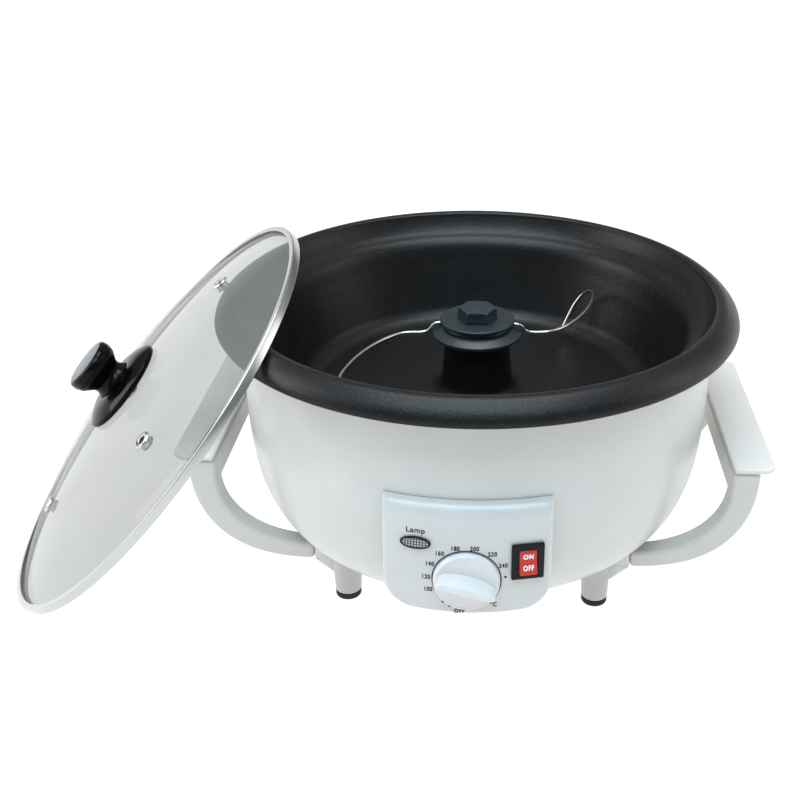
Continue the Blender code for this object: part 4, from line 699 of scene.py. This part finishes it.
panelPiece = addPiece("control-panel", [panelFace(), panelBrow()], panelPaint)
wall = panelPiece.modifiers.new("wall", 'SOLIDIFY')
wall.thickness, wall.offset, wall.use_even_offset = panel["wall"] * mm, -1, True
print("stage: control panel")


# Print on the panel
def onFace(points):
    # (x, z, depth) wrapped on the panel's front: angle x/R about the axis, a hair proud of it
    x, z, depth = np.asarray(points).T
    radius = panel["radius"] + 0.04 + depth
    turn = x / panel["radius"]
    return onAxis(np.column_stack([radius * np.sin(turn), -radius * np.cos(turn), z]))


def addText(name, words, size, x, z, stretch, bold, paint=printPaint, wrap=onFace, slot="panel_gloss_white",
            body="roaster_base", thick=0.05):
    # (x + stretch u, z + v) for letters (u, v) about their middle; copies to the side and above make them bolder
    curve = bpy.data.curves.new(name, 'FONT')
    curve.body, curve.size, curve.extrude = words, size, thick / 2
    curve.align_x, curve.align_y, curve.space_character = 'CENTER', 'CENTER', 1.05 + bold / 3
    holder = showObject(name, curve)
    bpy.context.view_layer.update()
    mesh = bpy.data.meshes.new_from_object(holder.evaluated_get(bpy.context.evaluated_depsgraph_get()))
    bpy.data.objects.remove(holder)
    work = bmesh.new()
    work.from_mesh(mesh)
    letters = work.verts[:] + work.edges[:] + work.faces[:]
    for shift in ((bold, 0, 0.005), (0, bold, 0.01), (bold, bold, 0.015)):
        twin = bmesh.ops.duplicate(work, geom=letters)["geom"]
        corners = [part for part in twin if isinstance(part, bmesh.types.BMVert)]
        bmesh.ops.translate(work, verts=corners, vec=shift)
    work.to_mesh(mesh)
    work.free()
    spots = np.empty(len(mesh.vertices) * 3)
    mesh.vertices.foreach_get("co", spots)
    spots = spots.reshape(-1, 3)
    spots[:, :2] -= (spots[:, :2].max(0) + spots[:, :2].min(0)) / 2
    spots = spots * (stretch, 1, 1) + (x, z, 0)
    mesh.vertices.foreach_set("co", wrap(spots).ravel())
    mesh.update()
    tidyMesh(mesh)
    showMesh(name, mesh, paint, body=body)


# words, x, z; then name, words, size, x, z, stretch, bold
for words, x, z in (("100", -20.4, 61.7), ("120", -21.5, 69.5), ("140", -19.4, 78.0), ("160", -14.1, 85.0),
                    ("180", -5.8, 88.6), ("200", 4.2, 88.8), ("220", 13.6, 85.3), ("240", 19.4, 78.0)):
    addText(f"mark-{words}", words, 3.7, x, z, 0.8, 0.26)
for row in (("mark-degrees", "°C", 3.7, 14.6, 53.4, 0.8, 0.26), ("mark-off", "OFF", 3.4, -3.7, 48.9, 0.9, 0.3),
            ("mark-lamp", "Lamp", 4.5, -27.1, 97.4, 0.98, 0.22)):
    addText(*row)

scale = {
    "centre": 68.8, "inner": 18.05, "outer": 18.75, "half": 0.02, "dot": (20.7, 70.7), "dotHalf": 0.75,
    "dashes": ((-12.7, 54.1), (-9, 51.7)), "dashHalf": (0.8, 0.4)}
ringLoops = [atLevel(circle(128) * scale[radius] + (0, scale["centre"]), depth * scale["half"])
             for radius, depth in (("inner", -1), ("inner", 1), ("outer", 1), ("outer", -1))]
marks = {"ring": (np.array(ringLoops), True, True),
         "dot": slab(ellipse(scale["dotHalf"], scale["dotHalf"], 24) + scale["dot"], -scale["half"], scale["half"],
                     0.01, 1)}
for index, (x, z) in enumerate(scale["dashes"]):
    lean = atan2(z - scale["centre"], x) + pi / 2
    dash = turned(roundedBox(*scale["dashHalf"], 0.1), lean) + (x, z)
    marks[f"dash-{index + 1}"] = slab(dash, -scale["half"], scale["half"], 0.01, 1)
for title, surface in marks.items():
    addPiece(f"mark-{title}", [surface], printPaint, place=onFace)


def faceAxes(across, lean=0.0):
    # x along the panel's face, y up, z out, leaned about x
    return (rotation(np.arcsin(across / panel["radius"]), 'Z') @ rotation(pi / 2 - lean, 'X')).col


def facePlace(across, height):
    axes = faceAxes(across)
    return placer(onAxis(np.array(axes[2]) * panel["radius"] + (0, 0, height)), *axes)


# Temperature knob
dial = {
    "turn": radians(15), "reach": 15.9, "footHalf": 5.6, "topHalf": 2.3, "endHalf": 2, "top": 11.2, "crown": 0.9,
    "foot": ((1.6, 0.4), (2.2, 0.15), (2.9, 0)),
    "disc": ((0, 0, 0), (17.7, 0, 0.2), (17.9, 0.5, 0.4), (16.7, 2.6, 0.7), (16, 2.7, 0.3), (15.7, 2.5, 0.3),
        (0, 2.5, 0))}


def dialGrip():
    # plan: |y| = (end + (half - end)(1 - s^2)) sqrt(1 - s^8), s = x/reach; the half narrows upward to a round crown
    shoulder = dial["top"] - dial["crown"]
    levels = [(level, wider, 0) for level, wider in (*dial["foot"], (shoulder, 0))]
    crown = dial["crown"] * (arc(np.linspace(0, pi / 2, 8)[1:]) - (1, 0))
    levels += [(shoulder + rise, wider, wider) for wider, rise in crown]
    share = np.sin(np.linspace(-pi / 2, pi / 2, 49))[1:-1]
    rings = []
    for level, wider, longer in levels:
        half = dial["footHalf"] + (dial["topHalf"] - dial["footHalf"]) * (level / dial["top"]) + wider
        plan = (dial["endHalf"] + wider + (half - dial["endHalf"]) * (1 - share ** 2)) * np.sqrt(1 - share ** 8)
        edge = np.column_stack([(dial["reach"] + longer) * share, -plan])
        rings.append(atLevel(turned(np.vstack([edge, -edge]), -dial["turn"]), level))
    return stack(rings)


addPiece("temperature-dial", [spin(roundCorners(dial["disc"]), knobSteps), dialGrip()], dialPaint,
         "temperature_knob", placer(jointAt("temperature_knob_turn"), *faceAxes(0)), body="dial")


# Lamp window: rings are (half width, half height, level), and the glass is a low crown
lamp = {
    "across": -27, "height": 90.7, "glass": (7.4, 2.9), "foot": 0.8, "edge": 1.02, "crown": 0.35,
    "rings": ((5.4, 2.6, -3), (6.5, 2.4, 0.2), (8.3, 3.7, 0.3), (8.4, 3.8, 0.6), (8.3, 3.7, 1.15),
        (8, 3.4, 1.4), (7.6, 3.05, 1.35), (7.4, 2.9, 1))}
lampPlace = facePlace(lamp["across"], lamp["height"])
addPiece("lamp-rim", [stack([atLevel(ellipse(wide, tall), level) for wide, tall, level in lamp["rings"]])],
         switchPaint, "lamp_lens", lampPlace)
lensLoops = [atLevel(ellipse(*lamp["glass"]) * share, lamp["edge"] + lamp["crown"] * (1 - share ** 2))
             for share in (1, 0.85, 0.6, 0.3, 0.1)]
addPiece("lamp-window", [stack([atLevel(ellipse(*lamp["glass"]), lamp["foot"])] + lensLoops)], lampPaint,
         place=lampPlace)

# Rocker switch: rings are (half width, half height, corner, level, shift up)
switch = {
    "across": 32.1, "height": 80.4,
    "rings": ((6.6, 9.6, 1, -18.5, 0), (6.7, 9.7, 1, 0.2, 0), (8.5, 10.55, 0.7, 0.25, 0),
        (8.8, 10.85, 0.9, 0.55, 0), (8.8, 10.85, 0.9, 1.4, 0), (8.7, 10.75, 0.8, 1.65, 0),
        (8.5, 10.55, 0.7, 1.75, 0), (5.5, 7.95, 0.9, 1.75, -0.55), (5.15, 7.6, 0.8, 1.5, -0.55),
        (5.1, 7.55, 0.8, -8.8, -0.55))}
frameLoops = [atLevel(roundedBox(wide, tall, corner) + (0, shift), level)
              for wide, tall, corner, level, shift in switch["rings"]]
addPiece("switch-frame", [stack(frameLoops)], switchPaint, "switch_housing",
         facePlace(switch["across"], switch["height"]))
rocker = {
    "lean": radians(9), "half": 4.8, "edge": 0.9, "valley": 2.4, "crest": 3.68, "reach": 7.4, "back": (6.6, 6.1)}
rockerPlace = placer(jointAt("power_rocker_tip"), *faceAxes(switch["across"], rocker["lean"]))


def rockerSurface():
    # two flat faces that meet in a valley, with a round back, carried across with rounded sides
    back = np.radians(np.linspace(-42, -138, 14))
    line = roundCorners([(-7.9, 1.2, 0), (-rocker["reach"], rocker["crest"], 1.1), (0, rocker["valley"], 6.0),
                         (6.3, 3.49, 1.2), (6.9, 1.2, 0)], 8)
    outline = np.vstack([line[::-1], (arc(back) * rocker["back"])[::-1]])
    points, rows, columns = slab(outline, -rocker["half"], rocker["half"], rocker["edge"], 6)
    return np.roll(points, 1, -1), rows, columns


def onRocker(points):
    # the rocker's two faces: out = valley + |along| (crest - valley) / reach, a hair proud
    x, along, depth = points.T
    rise = np.abs(along) * (rocker["crest"] - rocker["valley"]) / rocker["reach"]
    return rockerPlace(np.column_stack([x, along, rocker["valley"] + 0.05 + rise + depth]))


addPiece("power-rocker", [rockerSurface()], rockerPaint, place=rockerPlace, body="rocker")
for row in (("rocker-on", "ON", 3.7, 0, 3.0, 0.9, 0.36), ("rocker-off", "OFF", 3.7, 0, -3.4, 0.82, 0.34)):
    addText(*row, lightPrintPaint, onRocker, "rocker_red", "rocker", 0.06)
print("stage: dial, lamp and switch")

# Stirrer: turned profiles, the nut's rings as (level, size, cone's radius), and the wires' route in shares
hub = {
    "hub": ((4.3, 145.9, 0), (19.6, 145.9, 0.5), (26.2, 143.8, 1), (28.2, 143.7, 0.4), (28.2, 145.6, 0.8),
        (22.6, 148.8, 2.5), (20.6, 149.4, 1.5), (19.6, 151.9, 0.5), (4.3, 151.9, 0)),
    "disc": ((4.3, 152.2, 0), (23.4, 152.2, 0.5), (23.4, 154.2, 0.8), (4.3, 154.2, 0)),
    "nut": ((154.5, 1.03, 12.4), (155, 1.03, 12.7), (156.4, 0.985, 12.3), (160.6, 0.97, 12.1),
        (161.1, 0.965, 11.7), (161.4, 0.95, 11.3), (161.5, 0.925, 10.9), (161.5, 0.8, 9.2), (161.35, 0.77, 8.8)),
    "corner": 12.5}
wire = {
    "radius": 1.15, "level": 150.4, "depth": 44.1, "reach": 109.97,
    "route": ((0.1, 0, 0), (0.1455, 0, 0), (0.2182, 0, 0), (0.25, 0.0036, 0.0295), (0.2773, 0.0109, 0.1066),
        (0.3182, 0.0164, 0.1383), (0.4091, 0.0291, 0.1383), (0.4909, 0.0909, 0.1383), (0.5636, 0.1909, 0.1383),
        (0.6273, 0.3182, 0.1383), (0.6727, 0.4545, 0.1383), (0.7, 0.5909, 0.1383), (0.6955, 0.7, 0.1723),
        (0.6545, 0.7636, 0.2744), (0.6, 0.7636, 0.4558), (0.5545, 0.7273, 0.6599), (0.5182, 0.6909, 0.8413))}


def nutSurface():
    # hexagon radius a/cos(t), t folded to +-30 degrees about each flat, its corners cut by a cone at the top
    fold = np.arange(144) * 2 * pi / 144 % (pi / 3) - pi / 6
    hexagon = hub["corner"] * cos(pi / 6) / np.cos(fold)
    return stack([atLevel(circle(144) * np.minimum(hexagon * size, limit)[:, None], level)
                  for level, size, limit in hub["nut"]])


for title, surface in (("stirrer-hub", ring(closedCorners(hub["hub"]))),
                       ("clamp-disc", ring(closedCorners(hub["disc"]))), ("hub-nut", nutSurface())):
    addPiece(title, [surface], hubPaint, body="stirrer")
for across, side in sides[::-1]:
    route = np.array(wire["route"]) * (across * wire["reach"], across * wire["reach"], -wire["depth"])
    addPiece(f"stirrer-wire-{side}", [tube(smoothLine(route + (0, 0, wire["level"]), 8), wire["radius"])],
             wirePaint, body="stirrer")
print("stage: stirrer")

# Lid, in its own frame: x down the slope, y to the front, z out of the dome
lid = {
    "radius": 136.8, "band": 5.2, "sheet": 0.6, "lip": 4.2, "frontLip": 3.6, "glass": 3, "flat": 4, "edge": 0.6,
    "rise": 22.4, "power": 2.3, "tilt": radians(48.2), "turn": radians(193.4)}
lidAxes = rotation(lid["turn"], 'Z') @ rotation(lid["tilt"], 'Y')
lidMiddle = middle("lid_band") - lidAxes.col[2] * (lid["band"] / 2 * mm)
lidPlace = placer(lidMiddle, *lidAxes.col)
glassEdge = lid["radius"] - lid["sheet"] - gap
glassReach = glassEdge - lid["flat"]
glassFoot = (lid["band"] - lid["glass"]) / 2


def domeHeight(radius):
    # outer face: foot + thickness + rise (1 - (r/reach)^power)
    share = np.minimum(radius / glassReach, 1) ** lid["power"]
    return glassFoot + lid["glass"] + lid["rise"] * (1 - share)


def addLidPiece(name, surface, paint, place=lidPlace, sharp=32):
    return addPiece(name, [surface], paint, None, place, sharp, "lid")


domeRun = np.linspace(glassReach, 0, 60)
outerLine = np.column_stack([domeRun, domeHeight(domeRun)])
glassTop = glassFoot + lid["glass"]
edgeLine = ((glassEdge - lid["edge"], glassFoot), (glassEdge, glassFoot + lid["edge"]),
            (glassEdge, glassTop - lid["edge"]), (glassEdge - lid["edge"], glassTop))
glassLine = np.vstack([outerLine[::-1] - (0, lid["glass"]), edgeLine, outerLine])
glassPiece = addLidPiece("lid-glass", spin(glassLine, largeSteps), glassPaint)
glassPiece.visible_shadow = glassPiece.visible_diffuse = False
top, sheet, rim = lid["band"], lid["sheet"], lid["radius"]
bandLine = closedCorners([(rim, 0, 0.4), (rim, top, 0.6), (rim - lid["frontLip"], top, 0.28),
                          (rim - lid["frontLip"], top - sheet, 0.28), (rim - sheet, top - sheet, 0.3),
                          (rim - sheet, sheet, 0.3), (rim - lid["lip"], sheet, 0.28), (rim - lid["lip"], 0, 0.28)])
addLidPiece("lid-band", ring(bandLine, largeSteps), bandPaint)

# Lid knob on its skirt
knob = {
    "radius": 16.2, "height": 19.4, "skirt": 29.2, "edge": 3.1, "rise": 7.9, "foot": 12.96, "cap": 13.9,
    "shape": ((0.8, 0), (0.7, 0.1), (0.67, 0.19), (0.69, 0.29), (0.83, 0.44), (0.94, 0.57), (1, 0.74), (1, 0.84),
        (0.97, 0.95), (0.9, 1))}
skirtFoot = domeHeight(knob["skirt"]) + gap


def skirtHeight(radius):
    # low dome: foot + rise - (rise - edge) s^2, s from the knob's foot to the skirt's edge
    share = (radius - knob["foot"]) / (knob["skirt"] - knob["foot"])
    return skirtFoot + knob["rise"] - (knob["rise"] - knob["edge"]) * share ** 2


skirtRun = np.linspace(knob["skirt"] - 0.7, knob["foot"], 30)
skirtEdge = roundCorners([(knob["skirt"] - 3, skirtFoot, 0), (knob["skirt"], skirtFoot, 1.0),
                          (knob["skirt"], skirtHeight(knob["skirt"]), 1.5),
                          (skirtRun[0], skirtHeight(skirtRun[0]), 0)])
skirtLine = np.vstack([[(r, domeHeight(r) + gap) for r in (0, 14)], skirtEdge,
                       np.column_stack([skirtRun, skirtHeight(skirtRun)])[1:], [[0, skirtHeight(knob["foot"])]]])
addLidPiece("knob-skirt", spin(skirtLine, knobSteps), knobPaint)
knobFoot = skirtFoot + knob["rise"] + gap
knobTop = knobFoot + knob["height"]
bell = smoothLine(np.array(knob["shape"]) * (knob["radius"], knob["height"]) + (0, knobFoot), 6)
knobLine = np.vstack([[[0, knobFoot]], bell, [[0, knobTop]]])
addLidPiece("lid-knob", spin(knobLine, knobSteps), knobPaint, sharp=60)
# grey disc on the knob's flat top: a painted reflection of the overhead light on the gloss black
reflectionDiscLine = roundCorners([(0, knobTop + 0.02, 0), (knob["cap"], knobTop + 0.02, 0.05),
                        (knob["cap"], knobTop + 0.3, 0.25), (0, knobTop + 0.55, 0)], 4)
addLidPiece("knob-top-reflection", spin(reflectionDiscLine, knobSteps), knobReflectionPaint)

# Washer and screw under the dome: radius, thickness, rounds
fasteners = {"washer": (9, 1.2, 0.3, 0.5), "screw": (5, 2.2, 0.2, 1.2)}
level = domeHeight(fasteners["washer"][0]) - lid["glass"]
for title, (radius, thick, *rounds) in fasteners.items():
    line = puckLine(radius, level - gap, level - gap - thick, *rounds)
    addLidPiece(f"lid-{title}", spin(line, smallSteps), eyeletPaint)
    level -= gap + thick

# Vents: an eyelet and its dark sleeve, turned about their own axis on the dome
vent = {
    "circle": 85.5, "first": 11.5, "apart": 90, "count": 3,
    "eyelet": ((2.4, -3.9, 0.2), (4.3, -3.9, 0.3), (4.3, -3.3, 0.2), (3.6, -3.3, 0.1), (3.6, 0.3, 0.1),
        (5.2, 0.3, 0.2), (5.2, 0.6, 0.4), (4.4, 1.3, 0.7), (2.4, 1.1, 0.6)),
    "sleeve": ((0.9, -3.5, 0.1), (2.38, -3.5, 0.1), (2.38, 0.6, 0.1), (0.9, 0.6, 0.3))}
slope = atan2(lid["rise"] * lid["power"] * (vent["circle"] / glassReach) ** (lid["power"] - 1), glassReach)
for index in range(vent["count"]):
    around = lidAxes @ rotation(radians(vent["first"] + vent["apart"] * index), 'Z')
    origin = lidMiddle + around @ Vector((vent["circle"], 0, domeHeight(vent["circle"]))) * mm
    eyeletPlace = placer(origin, *(around @ rotation(slope, 'Y')).col)
    addLidPiece(f"vent-eyelet-{index + 1}", ring(closedCorners(vent["eyelet"], 5), smallSteps), eyeletPaint,
                eyeletPlace)
    addLidPiece(f"vent-sleeve-{index + 1}", ring(closedCorners(vent["sleeve"], 4), 48), rubberPaint,
                eyeletPlace)
print("stage: lid")

# CAD nodes that stay, by the start of their names; the first row that fits holds
kept = ((steelPaint, "heating_element", "drive_shaft", "shield_post"),
        (zincPaint, "heat_shield", "gearbox", "motor_screw", "cover_screw", "thermostat_shaft"),
        (motorPaint, "motor"), (ceramicPaint, "terminal_block", "thermal_fuse", "thermostat_body"),
        (neonPaint, "neon_lamp"), (inletPaint, "cable_inlet"))
for name, node in frame["nodes"].items():
    fitting = [paint for paint, *starts in kept if name.startswith(tuple(starts))]
    if fitting:
        setPaint(node.data, fitting[0])
print("stage: kept nodes painted")

# Floor, light and camera
floorHalf = 40
floorPaint = newPaint("floor", grey(0.5), 0.8, Emission_Color=(1, 1, 1, 1), Emission_Strength=0.93)
floorPaint.feed("Base Color", floorPaint.mix(floorPaint.noise(3, 2), grey(0.49), grey(0.51)))
floorMesh = newMesh("floor", [(x * floorHalf, y * floorHalf, 0.0) for x, y in ((-1, -1), (1, -1), (1, 1), (-1, 1))],
                    [(0, 1, 2, 3)])
setPaint(floorMesh, floorPaint)
floor = showObject("floor", floorMesh)

# white along the horizon like the floor, dim above it, pale overhead
skyStops = [(place, (level * 0.95, level * 0.98, level, 1))
            for place, level in ((0.08, 1.0), (0.25, 0.14), (0.7, 0.5))]
sky = Nodes(bpy.data.worlds.new("studio"), 'BACKGROUND', Strength=1.06)
height = sky.split(sky.add('ShaderNodeTexCoord').outputs["Generated"])[2]
sky.feed("Color", sky.add('ShaderNodeValToRGB', {"stops": skyStops}, {0: height}).outputs[0])
scene.world = sky.owner
scene.view_settings.view_transform = 'Standard'

# place, aim, size, watts, colour
lights = {
    "overhead": ((0.05, 0.1, 2), (0.05, 0, 0.1), (1.6, 0.7), 23, (1, 1, 1)),
    "top-front": ((0, -0.7, 1.6), (0.05, 0, 0.1), (1.6, 0.6), 21, (0.58, 0.83, 1)),
    "left": ((-1.5, -0.1, 0.8), (0, 0, 0.1), (0.8, 1), 10.5, (1, 1, 1)),
    "right": ((1.6, 0.1, 0.8), (0, 0, 0.1), (0.8, 1), 5, (1, 1, 1))}
for name, (spot, aim, size, power, colour) in lights.items():
    light = bpy.data.lights.new(name, 'AREA')
    light.shape, light.size, light.size_y = 'RECTANGLE', *size
    light.energy, light.color = power, colour
    holder = showObject(name, light)
    holder.location = spot
    holder.rotation_euler = (Vector(aim) - Vector(spot)).to_track_quat('-Z', 'Y').to_euler()

# angles in radians; focal length and centre in pixels of the picture
camera = {
    "rise": 0.395967, "roll": 0.010495, "yaw": -0.0283104, "distance": 0.7, "aim": 0.1643, "focal": 1124.05,
    "centre": (477.486, 302.987), "picture": 800, "sensor": 36}
axes = rotation(-camera["yaw"], 'Z') @ rotation(pi / 2 - camera["rise"], 'X') @ rotation(camera["roll"], 'Z')
lens = bpy.data.cameras.new("camera")
lens.lens, lens.sensor_width = camera["sensor"] * camera["focal"] / camera["picture"], camera["sensor"]
lens.shift_x = (camera["picture"] / 2 - camera["centre"][0]) / camera["picture"]
lens.shift_y = (camera["centre"][1] - camera["picture"] / 2) / camera["picture"]
lens.clip_start = 0.01
viewer = showObject("camera", lens)
spot = Vector((axisX, axisY, camera["aim"])) + axes.col[2] * camera["distance"]
viewer.matrix_world = Matrix.Translation(spot) @ axes.to_4x4()
scene.camera = viewer
print("stage: camera set")
